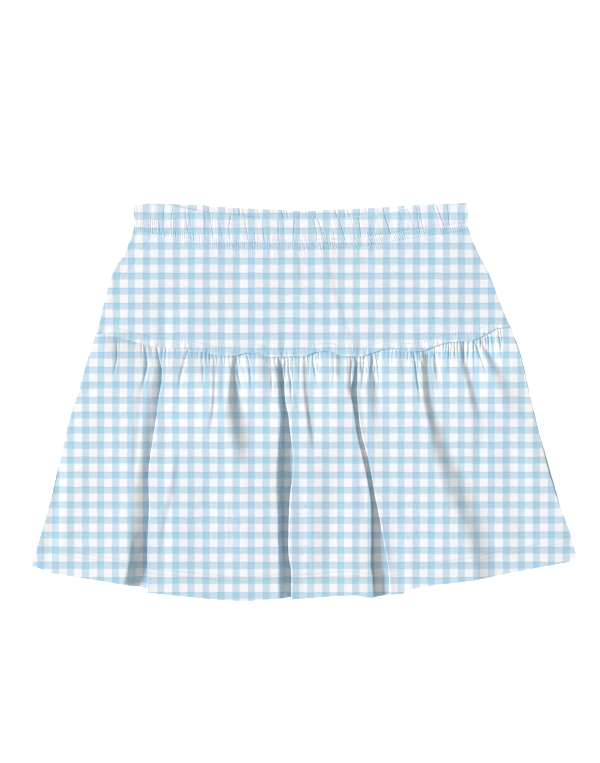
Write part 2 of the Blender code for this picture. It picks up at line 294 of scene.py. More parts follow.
def tier_heights(x, down):
    """The channels' floor and the crest, the front tier's lowest and highest cloth at a place."""
    lift = fold_lift(x, down)
    beyond_legs = ease(LEG_HEM, LEG_HEM + BEYOND_LEG, down)
    floor = blend(FRONT_LAYER + BACK_RIDGE * lift, HEM_FLOOR, beyond_legs)
    below = down - seam_down(x)
    swell = blend(ease(0, CREST_START, below), ease(0, LIFT_END, below), 0.5)
    puff = PUFF * ease(*PUFF_GROWS, below) * (1 - ease(*PUFF_FADES, below))
    standing = blend(FRONT_LAYER, FRONT_CREST, swell) + puff
    crest = rolled(x, down, standing, blend(YOKE_ROLL, TIER_ROLL, ease(0, 20, below)))
    return np.minimum(floor, crest), crest


print(f"from the table to the crest: {FRONT_CREST + CLOTH / 2:.2f} mm")

# %% [markdown]
# ## Creases, folds and dents
#
# A crease starts sharp at the seam that squeezes the cloth, and fades as the cloth relaxes. It is a
# narrow V along a slightly bowed line. The tiny gathers come in seeded clusters, as a gathering machine
# leaves them. A groove is a wider gather: its two edges and its depth are noted at a few levels.
#
# A fold is larger: the cloth falls from a ridge on its left to a valley on its right, and comes back up
# so slowly that the eye sees the fall alone. Where the fall starts and ends, and how steep it is, are
# noted at a few levels. A dent is a broad soft hollow, and cloth on a table is full of them.

# %% A valley along a bowed line
CREASE = "x_top down_top x_foot down_foot bow left right depth"
GATHER_START = 0.3    # how far above its seam a gather starts


def pressed_in(x, down, creases, fading=0.35):
    """How deep in mm the creases press the cloth in at each place. The deepest one counts."""
    deepest = np.zeros(np.shape(x))
    for x_top, down_top, x_foot, down_foot, bow, left, right, depth in zip(*creases.values()):
        share = (down - down_top) / (down_foot - down_top)
        middle = blend(x_top, x_foot, share) + 4 * bow * share * (1 - share)
        off = x - middle
        flank = 1 - np.clip(np.where(off < 0, -off / left, off / right), 0, 1)
        fade = ease(-0.12, 0.01, share) * (1 - ease(fading, 1.0, share))
        deepest = np.maximum(deepest, depth * flank * fade)
    return deepest


def gather_clusters(clusters, seam, seed):
    """Small creases that run down from a seam."""
    dice = np.random.default_rng(seed)
    rows = []
    for start, end, spacing, length, depth in zip(*clusters.values()):
        for x in np.arange(start, end, spacing):
            x += dice.uniform(-0.3, 0.3) * spacing
            long = length * dice.uniform(0.5, 1.3)
            lean = dice.uniform(-0.12, 0.12) * long
            deep = depth * dice.uniform(0.4, 1.0)
            flank = dice.uniform(0.6, 1.0)
            top, foot = seam(x) - GATHER_START, seam(x) + long
            rows.append((x, top, x + lean, foot, 0.1 * lean, flank, flank, deep))
    return table(CREASE, *rows)


print("a crease is noted by its", ", ".join(CREASE.split()))

# %% A fall from a ridge to a valley, and a broad soft hollow
GROOVE_SIDE = 0.8     # width of a groove's side
STEEPEST = 0.50       # the steepest slope of a narrow fold, as its fall for each mm across
BEND = 0.3            # share of a narrow fold's width in which it bends down, and as much to level out
DENT = "x_top down_top x_foot down_foot reach depth"


def groove(*rows):
    return table("down left right depth", *rows)


def broad(before, after, *rows):
    """Notes where the slope starts, is full, eases and ends. The cloth rises before and after it."""
    return before, after, table("down start full easing end steep", *rows)


def narrow(before, after, *rows):
    """Notes the ridge, the valley and how far the cloth falls between them."""
    noted = table("down ridge valley fall", *rows)
    width = noted["valley"] - noted["ridge"]
    places = {"down": noted["down"], "start": noted["ridge"], "full": noted["ridge"] + BEND * width,
              "easing": noted["valley"] - BEND * width, "end": noted["valley"],
              "steep": np.minimum(noted["fall"] / ((1 - BEND) * width), STEEPEST)}
    return before, after, places


def grooved(x, down, grooves):
    """How deep the cloth lies in narrow grooves, whose two sides are steep."""
    deep = np.zeros(np.shape(x))
    for rows in grooves:
        left, right, depth = (curve(rows, "down", name, down) for name in ("left", "right", "depth"))
        inside = np.minimum(x - left, right - x) / GROOVE_SIDE
        deep = np.maximum(deep, depth * np.clip(inside, 0, 1))
    return deep


def sloped(distance, width):
    """How far a slope falls that grows from 0 to 1 over the width and then stays at 1."""
    inside = np.clip(distance, 0, width)
    return inside ** 2 / (2 * width) + np.maximum(distance - width, 0)


def folded_down(x, down, folds):
    """How far in mm the folds take the cloth down, below 0 where it has risen towards a fold."""
    fallen = np.zeros(np.shape(x))
    for before, after, rows in folds:
        start, full, easing, end, steep = (curve(rows, "down", name, down) for name in list(rows)[1:])
        fall = sloped(x - start, full - start) - sloped(x - easing, end - easing)
        risen = np.clip((x - start + before) / (end - start + before + after), 0, 1)
        fallen += steep * (fall - (easing + end - start - full) / 2 * risen)
    return fallen


def dented(x, down, dents):
    deep = np.zeros(np.shape(x))
    for x_top, down_top, x_foot, down_foot, reach, depth in zip(*dents.values()):
        share = (down - down_top) / (down_foot - down_top)
        fade = ease(0, 0.3, share) * (1 - ease(0.7, 1.0, share))
        deep += depth * fade * (1 - ease(0, 1, abs(x - blend(x_top, x_foot, share)) / reach))
    return deep


print(f"a narrow fold slopes at {math.degrees(math.atan(STEEPEST)):.0f} degrees at most")

# %% [markdown]
# ## From a row of points to a sheet of cloth
#
# Every panel is one grid. A function says where one row of it runs, and the rows follow each other from
# the waist to the hem. Beside its place, each point keeps its place in the cloth's print, so the check
# follows the cloth into its tucks. The grid starts as Blender's own primitive, its points are moved
# into place, and Solidify gives it the thickness of jersey.

# %% Laying out a sheet
def point(x, down, height):
    return np.stack([CENTRE_X + x * MM, CORNERS_Y - down * MM, height * MM], axis=-1)


def finish_mesh(piece):
    """Smooth a piece, and name the body that it moves with."""
    bpy.ops.object.shade_smooth_by_angle(angle=math.radians(50))
    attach(piece, "root")
    return piece


def lay_cloth(name, row, falls, material):
    """`row(fall)` gives x, down, height, and both places in the print, at a share of the way down."""
    x, down, height, u, v = np.stack([np.broadcast_arrays(*row(fall)) for fall in falls[::-1]], axis=1)
    lines, columns = x.shape
    bpy.ops.object.select_all(action="DESELECT")
    bpy.ops.mesh.primitive_grid_add(x_subdivisions=columns - 1, y_subdivisions=lines - 1, size=1)
    piece = bpy.context.object
    piece.name = name
    mesh = piece.data
    mesh.vertices.foreach_set("co", point(x, down, height).ravel())
    corners = np.zeros(len(mesh.loops), int)
    mesh.loops.foreach_get("vertex_index", corners)
    print_place = np.stack([u.ravel(), v.ravel()], axis=-1)[corners] * MM
    mesh.uv_layers[0].name = "print"
    mesh.uv_layers[0].data.foreach_set("uv", print_place.ravel())
    thickness = piece.modifiers.new("thickness", "SOLIDIFY")
    thickness.thickness = CLOTH * MM
    thickness.offset = 0.0
    bpy.ops.object.modifier_apply(modifier="thickness")
    mesh.materials.append(material)
    print(f"{name}: {lines} x {columns} points, {2 * len(mesh.polygons)} triangles")
    return finish_mesh(piece)


# %% [markdown]
# ## Colours
#
# A colour picked from a chart is coded for the eye, and a renderer adds up light, so each hex value is
# first turned to linear light. One small function adds a node to a material: it sets the node's own
# settings, and it links or fills its inputs.

# %% Colour and node helpers
def linear(code):
    shares = [int(code[at:at + 2], 16) / 255 for at in (1, 3, 5)]
    return [c / 12.92 if c <= 0.04045 else ((c + 0.055) / 1.055) ** 2.4 for c in shares] + [1.0]


def add_node(tree, kind, inputs=(), **settings):
    made = tree.nodes.new(kind)
    for name, value in settings.items():
        setattr(made, name, value)
    for place, value in dict(inputs).items():
        if isinstance(value, bpy.types.NodeSocket):
            tree.links.new(value, made.inputs[place])
        else:
            made.inputs[place].default_value = value
    return made


def set_stops(ramp, stops):
    """Give a colour ramp its stops, as (place, colour) pairs."""
    while len(ramp.elements) < len(stops):
        ramp.elements.new(1.0)
    for element, (place, colour) in zip(ramp.elements, stops):
        element.position = place
        element.color = colour


print("a grey of #808080 is", round(linear("#808080")[0], 3), "of full light")

# %% [markdown]
# ## Knitted cotton jersey
#
# Jersey is a knit: its front shows columns of small V-shaped stitches, called wales. It has no gloss,
# only a soft fuzz that catches light at the cloth's edges, which the shader's sheen gives. Its stitches
# are 0.85 mm wide here, about as coarse as a light T-shirt knit gets, so that a close view shows them.
# A V is a ripple along the cloth that is pushed up on both sides of each wale.

# %% Stitches of a knit, as a bump
WALE, COURSE = 0.85 * MM, 0.70 * MM      # width and height of one knitted stitch
STITCH_SLANT = 1.3
KNIT_DEPTH = 0.10 * MM


def knit_bump(tree, u, v):
    half_wale = add_node(tree, "ShaderNodeMath", {0: u, 1: WALE / 2}, operation="PINGPONG")
    slanted = add_node(tree, "ShaderNodeMath", {0: half_wale.outputs[0], 1: STITCH_SLANT, 2: v},
                       operation="MULTIPLY_ADD")
    turn = add_node(tree, "ShaderNodeMath", {0: slanted.outputs[0], 1: 2 * math.pi / COURSE},
                    operation="MULTIPLY")
    leg = add_node(tree, "ShaderNodeMath", {0: turn.outputs[0]}, operation="SINE")
    groove = add_node(tree, "ShaderNodeMath", {0: half_wale.outputs[0], 1: 2 / WALE},
                      operation="MULTIPLY")
    height = add_node(tree, "ShaderNodeMath", {0: leg.outputs[0], 1: 0.35, 2: groove.outputs[0]},
                      operation="MULTIPLY_ADD")
    return add_node(tree, "ShaderNodeBump", {"Strength": 0.35, "Distance": KNIT_DEPTH,
                                             "Height": height.outputs[0]})


def cloth_material(name):
    """A new material whose shader has the dull, fuzzy surface of cotton, and its node tree."""
    made = bpy.data.materials.new(name)
    made.use_nodes = True
    tree = made.node_tree
    shader = tree.nodes["Principled BSDF"]
    shader.inputs["Roughness"].default_value = 0.9
    shader.inputs["IOR"].default_value = 1.46
    shader.inputs["Specular IOR Level"].default_value = 0.2
    shader.inputs["Sheen Weight"].default_value = 0.08
    shader.inputs["Sheen Roughness"].default_value = 0.5
    return made, tree, shader


def knitted(tree, shader, colour, mottle, shades, apart):
    """Give a shader its mottled colour, between two shades of it, and the stitches of the knit."""
    shade = add_node(tree, "ShaderNodeMapRange", {"Value": mottle.outputs["Fac"],
                                                  "To Min": shades[0], "To Max": shades[1]})
    mottled = add_node(tree, "ShaderNodeVectorMath", {0: colour, "Scale": shade.outputs[0]},
                       operation="SCALE")
    tree.links.new(mottled.outputs["Vector"], shader.inputs["Base Color"])
    bump = knit_bump(tree, apart.outputs["X"], apart.outputs["Y"])
    tree.links.new(bump.outputs["Normal"], shader.inputs["Normal"])


print(f"{10 * MM / WALE:.0f} wales to the centimetre")

# %% [markdown]
# ## A gingham check
#
# Gingham has white and dyed stripes of nearly the same width, both ways. Where two dyed stripes cross,
# the colour is twice as strong. The repeat is the quarter-inch check, 12.7 mm. Each stripe's first edge
# is a little darker than the rest, as it dries last in printing, and deep blue is for the places where
# two such edges cross. The knit stretches unevenly, so no stripe is quite straight, and a mottle keeps
# the white from looking like paper.

# %% Gingham printed on jersey
REPEAT = 12.7 * MM
STRIPE = 0.475                           # dyed share of the repeat
WHITE, PALE_BLUE, MID_BLUE, DEEP_BLUE = "#E7E7E7", "#BFD2DE", "#A2C4D7", "#97BFD4"
PLAIN_DYE = 0.84                         # the ramp's place for two stripes, beside their darker edges
DYE_AFTER_EDGE, DYE_AT_END = 0.86, 0.80  # what one stripe holds, next to its darker edge and at its end
UPRIGHT_EDGE_DYE = 1.0                   # what the darker edges of the upright stripes hold
PULL, PULL_WIDTH = 1.1 * MM, 9 * MM      # the most that stretch moves a stripe, and over what width


def dye(tree, place, first_edge, edge_dye):
    """How much dye the stripes leave here, counted along one direction of the cloth."""
    stops = [
        (0.0, 0.0),
        (0.02, edge_dye),
        (0.08, edge_dye),
        (0.11, DYE_AFTER_EDGE),
        (STRIPE - 0.02, DYE_AT_END),
        (STRIPE + 0.01, 0.0),
    ]
    from_edge = add_node(tree, "ShaderNodeMath", {0: place, 1: first_edge * MM}, operation="SUBTRACT")
    repeats = add_node(tree, "ShaderNodeMath", {0: from_edge.outputs[0], 1: REPEAT}, operation="DIVIDE")
    share = add_node(tree, "ShaderNodeMath", {0: repeats.outputs[0]}, operation="FRACT")
    ramp = add_node(tree, "ShaderNodeValToRGB", {0: share.outputs[0]})
    set_stops(ramp.color_ramp, [(at, (held, held, held, 1)) for at, held in stops])
    return ramp.outputs["Color"]


def gingham_jersey(name, stripe_x, stripe_down, edge_dye):
    """The middles of one dyed stripe each way, in mm, and the dye in the level stripes' first edges."""
    made, tree, shader = cloth_material(name)
    place = add_node(tree, "ShaderNodeUVMap", uv_map="print")
    pull = add_node(tree, "ShaderNodeTexNoise", {"Vector": place.outputs[0], "Scale": 1 / PULL_WIDTH,
                                                 "Detail": 1.0})
    centred = add_node(tree, "ShaderNodeVectorMath", {0: pull.outputs["Color"], 1: (0.5, 0.5, 0.5)},
                       operation="SUBTRACT")
    pulled = add_node(tree, "ShaderNodeVectorMath", {0: centred.outputs[0], 1: (PULL, PULL, 0),
                                                     2: place.outputs[0]}, operation="MULTIPLY_ADD")
    apart = add_node(tree, "ShaderNodeSeparateXYZ", {0: pulled.outputs[0]})
    half = STRIPE * REPEAT / MM / 2
    along = dye(tree, apart.outputs["X"], stripe_x - half, UPRIGHT_EDGE_DYE)
    over = dye(tree, apart.outputs["Y"], stripe_down - half, edge_dye)
    dyed = add_node(tree, "ShaderNodeMath", {0: along, 1: over}, operation="ADD")
    mottle = add_node(tree, "ShaderNodeTexNoise", {"Vector": place.outputs[0], "Scale": 0.9 / MM,
                                                   "Detail": 2.0, "Roughness": 0.6})
    patchy = add_node(tree, "ShaderNodeMapRange", {"Value": mottle.outputs["Fac"],
                                                   "To Min": 0.47, "To Max": 0.53})
    strength = add_node(tree, "ShaderNodeMath", {0: dyed.outputs[0], 1: patchy.outputs[0]},
                        operation="MULTIPLY")
    ramp = add_node(tree, "ShaderNodeValToRGB", {0: strength.outputs[0]})
    set_stops(ramp.color_ramp, [
        (0.0, linear(WHITE)),
        (PLAIN_DYE / 2, linear(PALE_BLUE)),
        (PLAIN_DYE, linear(MID_BLUE)),
        (1.0, linear(DEEP_BLUE)),
    ])
    knitted(tree, shader, ramp.outputs["Color"], mottle, (0.955, 1.035), apart)
    return made


# The tier was cut from another place of the cloth than the yoke, so its check starts elsewhere.
waist_gingham = gingham_jersey("gingham_cotton_jersey_yoke", -3.92, 10.28, 1.3)
tier_gingham = gingham_jersey("gingham_cotton_jersey_tier", -4.47, 128.06, 1.12)
print("one repeat of the check:", round(REPEAT / MM, 2), "mm")

# %% [markdown]
# ## Plain jersey and thread
# The shorts are the same knit without the print. The sewing thread is spun polyester, and it has a
# slight shine. It lies in short straight stitches, a third of a millimetre thick. Its grey-blue is darker
# than white thread, and that is painted shade: it stands in for the shade in the needle holes, so each
# stitch reads as a dark dot. The sewing thread is spun polyester, and it has a
# slight shine. It lies in short straight stitches, a third of a millimetre thick.

# %% Plain jersey
PLAIN_WHITE = "#DEE0E2"


def plain_jersey(name):
    made, tree, shader = cloth_material(name)
    place = add_node(tree, "ShaderNodeUVMap", uv_map="print")
    apart = add_node(tree, "ShaderNodeSeparateXYZ", {0: place.outputs[0]})
    mottle = add_node(tree, "ShaderNodeTexNoise", {"Vector": place.outputs[0], "Scale": 0.7 / MM})
    knitted(tree, shader, linear(PLAIN_WHITE)[:3], mottle, (0.95, 1.02), apart)
    return made


shorts_jersey = plain_jersey("white_cotton_jersey")
print("the shorts are of", shorts_jersey.name)

# %% Thread
# Both greys of the thread are painted shade, darker than white thread, for the shade in the needle holes.
THREAD_GREY_PAINTED_SHADE, THREAD_DARK_PAINTED_SHADE = "#A9B4BC", "#8C98A1"
THREAD = 0.34                            # thickness of the sewing thread


def spun_thread(name):
    made, tree, shader = cloth_material(name)
    shader.inputs["Roughness"].default_value = 0.6
    place = add_node(tree, "ShaderNodeTexCoord")
    plies = add_node(tree, "ShaderNodeTexNoise", {"Vector": place.outputs["Object"],
                                                  "Scale": 1 / (2 * THREAD * MM)})
    ramp = add_node(tree, "ShaderNodeValToRGB", {0: plies.outputs["Fac"]})
    set_stops(ramp.color_ramp, [(0.35, linear(THREAD_DARK_PAINTED_SHADE)), (0.6, linear(THREAD_GREY_PAINTED_SHADE))])
    tree.links.new(ramp.outputs["Color"], shader.inputs["Base Color"])
    return made


sewing_thread = spun_thread("spun_polyester_thread")
print("they are sewn with", sewing_thread.name)

# %% [markdown]
# ## The camera and the light
#
# The garment is seen from straight above, from far enough that it looks drawn to scale. Half of the
# light is a white room, which falls in from everywhere and keeps the folds from going black. The other
# half comes from one low soft lamp on the left. A level piece of cloth gets its even share of the lamp,
# and a slope that falls away to the right gets less or none, so this one lamp draws every fold. The
# floor glows a little, so that no shadow shows round the garment.

# %% Camera
VIEW_HEIGHT = 646.0                      # how much of the table the camera takes in, upwards
VIEW_DOWN, VIEW_X = 150.3, -0.85         # the middle of the view
LENS, FILM = 120.0, 36.0

camera_data = bpy.data.cameras.new("camera")
camera_data.sensor_fit = "VERTICAL"
camera_data.sensor_height = FILM
camera_data.lens = LENS
camera = bpy.data.objects.new("camera", camera_data)
bpy.context.scene.collection.objects.link(camera)
distance = VIEW_HEIGHT * LENS / FILM + FRONT_LAYER
camera.location = point(VIEW_X, VIEW_DOWN, distance)
bpy.context.scene.camera = camera
print(f"the camera is {distance / 1000:.2f} m above the table")

# %% Light and floor
bpy.context.scene.view_settings.view_transform = "Standard"
ROOM_LIGHT = 0.58
ROOM_TINT, LAMP_TINT = (1.02, 1.0, 0.95), (0.98, 1.0, 1.05)
LAMP_LIGHT = 4.31
LAMP_AROUND, LAMP_HEIGHT = math.radians(176), math.radians(25)   # around is anticlockwise from +X
LAMP_SOFTNESS = math.radians(9)
FLOOR_GLOW = 0.8

world = bpy.data.worlds.new("white_room")
world.use_nodes = True
world.node_tree.nodes["Background"].inputs["Color"].default_value = (*ROOM_TINT, 1)
world.node_tree.nodes["Background"].inputs["Strength"].default_value = ROOM_LIGHT
bpy.context.scene.world = world

lamp_data = bpy.data.lights.new("soft_lamp", "SUN")
lamp_data.energy = LAMP_LIGHT
lamp_data.color = LAMP_TINT
lamp_data.angle = LAMP_SOFTNESS
lamp = bpy.data.objects.new("soft_lamp", lamp_data)
lamp.rotation_euler = (0, math.pi / 2 - LAMP_HEIGHT, LAMP_AROUND)
bpy.context.scene.collection.objects.link(lamp)
print("the lamp gives", round(LAMP_LIGHT * math.sin(LAMP_HEIGHT) / math.pi / ROOM_LIGHT, 2),
      "times the room's light on level cloth")

bpy.ops.object.select_all(action="DESELECT")
bpy.ops.mesh.primitive_plane_add(size=12, location=(0, 0, 0))
floor = bpy.context.object
floor.name = "floor"
paint = bpy.data.materials.new("matt_white_floor")
paint.use_nodes = True
paint_shader = paint.node_tree.nodes["Principled BSDF"]
paint_shader.inputs["Base Color"].default_value = (0.9, 0.9, 0.9, 1)
paint_shader.inputs["Roughness"].default_value = 0.95
paint_shader.inputs["Specular IOR Level"].default_value = 0.0
paint_shader.inputs["Emission Color"].default_value = (1, 1, 1, 1)
paint_shader.inputs["Emission Strength"].default_value = FLOOR_GLOW
floor.data.materials.append(paint)

# %% [markdown]
# ## The waistband
#
# The waistband is one strip of jersey, folded over a flat elastic and sewn down at its foot. The
# elastic is shorter than the strip, so the cloth stands in upright gathers. The strip is laid out along
# its real path: up the inside, over the fold, and down the outside to the stitching.

# %% Creases of the elastic's gathers
GAP = 0.3                                # left between two sheets that meet edge to edge
BAND_HALF = 0.7                          # from the middle of the casing to the middle of its cloth
PINCH = 0.45                             # how much the stitching at the foot flattens the casing
BAND_FRONT_LAYER, BAND_BACK_LAYER = 3.75, 1.15  # the middles of the two casings above the table
BAND_PUFF = 0.4                          # how far the cloth stands off the elastic between creases
CREASE_DEPTH = 0.5                       # how deep a crease is whose depth is noted as 1
CASING_STITCH = 0.75                     # share of the band's height above the casing's stitching
BAND_CREASES = table(
    "x lean bow depth",
    (-138.6, 0.8, 0.3, 0.40),
    (-126.6, -0.5, 0.2, 0.60),
    (-121.4, -0.4, 0.2, 0.25),
    (-115.6, -0.4, -0.6, 0.90),
    (-108.2, -1.4, -0.6, 0.85),
    (-97.6, 2.6, -0.5, 0.95),
    (-94.6, 2.4, 0.2, 0.30),
    (-81.2, 0.2, 0.2, 0.65),
    (-76.8, 3.2, -0.3, 0.75),
    (-74.2, 1.4, -0.8, 0.50),
    (-70.6, 4.8, 0.5, 0.60),
    (-59.4, 0.6, -1.6, 0.85),
    (-47.2, 3.0, -0.2, 0.95),
    (-37.8, 3.6, 0.2, 0.30),
    (-32.0, 1.8, -0.6, 1.00),
    (-19.2, 0.2, 0.0, 0.95),
    (-15.4, 2.6, 0.2, 0.40),
    (-5.2, -1.4, -0.2, 0.90),
    (-1.4, 1.4, 0.1, 0.30),
    (11.0, 2.4, 0.9, 0.80),
    (15.0, 5.0, 0.3, 1.15),
    (25.0, 4.2, 0.4, 0.50),
    (32.8, 5.6, -0.2, 0.90),
    (42.8, 3.6, 0.5, 0.50),
    (49.2, 2.2, 0.0, 0.95),
    (59.8, 4.0, 0.4, 0.40),
    (64.6, 3.8, 0.4, 0.35),
    (70.8, 5.8, 0.2, 1.15),
    (83.6, 4.0, 0.4, 0.50),
    (90.6, 6.4, 0.6, 0.60),
    (98.4, 1.4, 0.2, 0.60),
    (101.0, 3.2, -0.4, 0.95),
    (112.6, 6.0, 0.2, 0.60),
    (115.8, 6.4, -0.3, 1.10),
    (124.6, 1.6, -0.3, 0.85),
    (133.0, 2.4, 0.3, 0.35),
)


def casing_stitch(x):
    return blend(curve(BAND, "x", "front_top", x), band_foot(x), CASING_STITCH)


def band_creases(rows, flank, ends):
    """The creases of a band. `ends(x)` says how far down the top and the foot of a crease are."""
    made = []
    for x, lean, bow, depth in zip(*rows.values()):
        top, foot = ends(x)
        made.append((x, top, x + lean, foot, bow, flank, flank, CREASE_DEPTH * depth))
    return table(CREASE, *made)


def casing_ends(x):
    """From just under the band's top edge to its stitching."""
    return curve(BAND, "x", "front_top", x) + 2.0, casing_stitch(x) + 1.5


front_band_creases = band_creases(BAND_CREASES, 0.5, casing_ends)
print(len(BAND_CREASES["x"]), "deep creases across the front of the band")

# %% Dense puckers between the band's two rows of stitching
PUCKER_STEP, PUCKER_RISE = 1.8, 0.45     # from one pucker to the next, and how high it stands
LOWER_STITCH = 1.0                       # the second row of stitching, below the band's foot
PUCKER_ABOVE, PUCKER_BELOW = 9.0, 6.0    # how far they fade out beyond the two rows
BAND_LEAN = 0.30                         # the most that a gather leans, in mm of x for each mm down
STITCH_PINCH = 0.16                      # how deep a row of stitching pulls the cloth in


def slanted(x):
    """How far the band's gathers lean. The left-hand ones stand upright."""
    return BAND_LEAN * ease(-10, 70, x)


def puckers(x, down, slant):
    """Ridges that stand between the needle's stitches, in mm, from 0 at their valleys."""
    upper, lower = casing_stitch(x), band_foot(x) + LOWER_STITCH
    beyond = np.maximum((upper - down) / PUCKER_ABOVE, (down - lower) / PUCKER_BELOW)
    fade = 1 - ease(-0.4, 1, beyond + 0.5 * uneven(x, 2.9, 3))
    along = x + slant * (lower - down) + 0.9 * uneven(x + 0.2 * down, 3.7, 4)
    along += 0.35 * uneven(down + 2.7 * x, 2.6, 5)
    phase = along / PUCKER_STEP % 1
    ridge = np.clip(abs(2 * phase - 1) * PUCKER_STEP, 0, 1)
    strength = 0.75 + 0.35 * uneven(x, 4.4, 6)
    to_stitch = np.minimum(abs(down - upper), abs(down - lower))
    pinched = 1 - ease(0.2, 1.3, to_stitch)
    return PUCKER_RISE * strength * ridge * fade * (1 - pinched) - STITCH_PINCH * pinched


print("about", round((BAND["x"].max() - BAND["x"].min()) / PUCKER_STEP), "puckers across the band")

# %% One row of the folded strip
UNDERSIDE, TURN = 0.20, 0.12             # shares of the rows below and round the turned top edge
BAND_COLUMNS, BAND_LENGTH = 760, 283     # points along the band, and how long it is as it lies
band_shares = np.linspace(0, 1, BAND_COLUMNS)
along_band = band_shares * BAND_LENGTH


def band_row(top_edge, layer, creases, slant_share):
    """The rows of one side of the band, with the face that can be seen uppermost."""
    wobble = 0.175 * uneven(along_band, 6.0, 8) + 0.1 * uneven(along_band, 2.4, 9)
    top = crossing(lambda x: curve(BAND, "x", top_edge, x), band_shares) + wobble
    foot = crossing(band_foot, band_shares) - GAP / 2

    def row(fall):
        turn = np.pi * ease(UNDERSIDE, UNDERSIDE + TURN, fall)
        lower = 1 - np.clip(fall / UNDERSIDE, 0, 1)
        upper = np.clip((fall - UNDERSIDE - TURN) / (1 - UNDERSIDE - TURN), 0, 1)
        deep = lower + upper
        rise = BAND_HALF * (1 - PINCH * ease(0.7, 1.0, deep))
        down = blend(top + BAND_HALF, foot, deep) - BAND_HALF * np.sin(turn)
        x = across(down, band_shares)
        slant = slanted(x) * slant_share
        puffed = puckers(x, down, slant) - pressed_in(x, down, creases, 0.85)
        soft = BAND_PUFF + 0.1 * uneven(x - slant * down, 5.2, 11)
        puffed += soft * ease(0, 4, abs(casing_stitch(x) - down)) * (1 - ease(0.72, 0.80, deep))
        height = layer - rise * np.cos(turn) + puffed * ease(-0.4, 0.9, -np.cos(turn))
        past_turn = np.where(turn < np.pi / 2, -1, 1)
        return x, down, height, x, top + past_turn * (down - top)

    return row


def band_falls(underside, turn, upperside):
    return np.concatenate([
        np.linspace(0, UNDERSIDE, underside, endpoint=False),
        np.linspace(UNDERSIDE, UNDERSIDE + TURN, turn, endpoint=False),
        np.linspace(UNDERSIDE + TURN, 1, upperside),
    ])


front_band_row = band_row("front_top", BAND_FRONT_LAYER, front_band_creases, 1.0)
waistband_front = lay_cloth("waistband_front_cloth", front_band_row, band_falls(6, 8, 44),
                            waist_gingham)
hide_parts("waistband_front")

# %% [markdown]
# ## The back of the waistband
#
# Where the front dips, a crescent of the back's inside shows above it, with short gathers of its own.
# The back's outer face lies on the table, so its gathers can only stand up on the inside.

# %% The back band, with its inner face up
BACK_BAND_CREASES = table(
    "x lean bow depth",
    (-88.2, 0.6, 0.1, 0.90),
    (-78.0, 0.2, 0.1, 0.40),
    (-64.0, 0.4, 0.1, 0.45),
    (-56.8, 2.4, 0.0, 0.60),
    (-52.2, 0.2, 0.1, 1.10),
    (-49.4, 4.6, 0.2, 0.80),
    (-36.6, 3.2, 0.0, 0.50),
    (-16.2, 2.0, 0.3, 1.10),
    (-11.6, 0.8, 0.0, 0.80),
    (-1.2, 0.8, 0.0, 0.50),
    (4.4, 2.0, 0.2, 0.60),
    (12.8, -0.2, 0.1, 0.80),
    (28.8, 4.0, 0.2, 1.10),
    (33.2, 2.4, 0.2, 0.45),
    (36.8, 1.8, 0.0, 0.70),
    (39.2, 5.0, 0.3, 1.00),
    (50.0, -0.6, 0.0, 0.40),
    (55.4, 0.8, 0.2, 0.65),
    (69.6, 3.0, 0.2, 0.90),
    (74.6, 2.6, 0.2, 0.60),
    (82.2, 0.6, 0.0, 0.50),
    (87.2, 0.4, 0.1, 0.70),
    (101.4, 1.0, 0.1, 0.45),
)


def crescent_ends(x):
    """Through the crescent, and on under the front's edge."""
    top = curve(BAND, "x", "back_top", x)
    return top + 0.5, top + 13


back_band_creases = band_creases(BACK_BAND_CREASES, 0.6, crescent_ends)
back_band_row = band_row("back_top", BAND_BACK_LAYER, back_band_creases, 0.0)
waistband_back = lay_cloth("waistband_back_cloth", back_band_row, band_falls(6, 8, 24),
                           waist_gingham)
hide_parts("waistband_back")

# %% [markdown]
# ## The yoke
#
# The yoke is a plain fitted panel. It is smooth, but not dead flat: the puckers of the band run a few
# millimetres into it, the tier's deepest folds go on into its lower edge as soft ones, and two soft
# creases run from the left of the band towards the side seam. Its lower edge is turned under and lies
# on top of the tier, and that draws the thin line of the seam.

# %% Dents, folds and creases of the front yoke
YOKE_DENTS = table(
    DENT,
    (-54, 40, -54, 90, 9, 0.17),
    (53, 38, 57, 66, 6, 0.17),
    (-116, 84, -116, 130, 8, 0.17),
    (114, 36, 120, 66, 8, 0.20),
    (112, 70, 116, 104, 8, 0.17),
    (-12, 70, -10, 100, 8, 0.12),
)
YOKE_FOLDS = [
    narrow(15, 30, (44, 20, 25, 0), (64, 23, 29, 0.36), (85, 29, 35.5, 0.45), (104, 34.5, 41.5, 0.45),
           (122, 39, 47, 0.3), (140, 40, 48, 0.3)),
    narrow(10, 20, (40, -5, -1, 0), (56, -4, 1, 0.3), (70, -3, 2.5, 0.27), (84, -2, 3, 0)),
    narrow(15, 20, (104, -20, -14, 0), (116, -20.5, -13.5, 0.48), (128, -20.5, -14.5, 0.66),
           (140, -20.5, -14.5, 0.66)),
    narrow(15, 20, (110, 45, 50, 0), (120, 44.5, 50.5, 0.48), (128, 44.5, 50.5, 0.6),
           (140, 44.5, 50.5, 0.6)),
    narrow(15, 20, (106, 96, 101, 0), (116, 96, 102, 0.36), (126, 98, 105, 0.48), (136, 98, 105, 0.48)),
    narrow(15, 25, (66, -128, -116, 0), (86, -128, -116, 0.42), (116, -127, -113, 0.48),
           (140, -127, -113, 0.48)),
    narrow(12, 15, (44, -150, -140, 0), (60, -154, -144, 0.3), (80, -162, -150, 0.36),
           (100, -166, -154, 0)),
]
SIDE_CREASES = table(
    CREASE,
    (-127.5, 28, -163, 82, 0.6, 1.3, 2.0, 0.14),
    (-147, 42, -166, 96, 1.0, 1.2, 2.0, 0.12),
)
ON_TOP, UNDER = 0.60, 0.35               # how far the seam lifts the yoke's edge and sinks the tier's
TOPSTITCH = 6.6                          # from the seam up to the stitching on the yoke
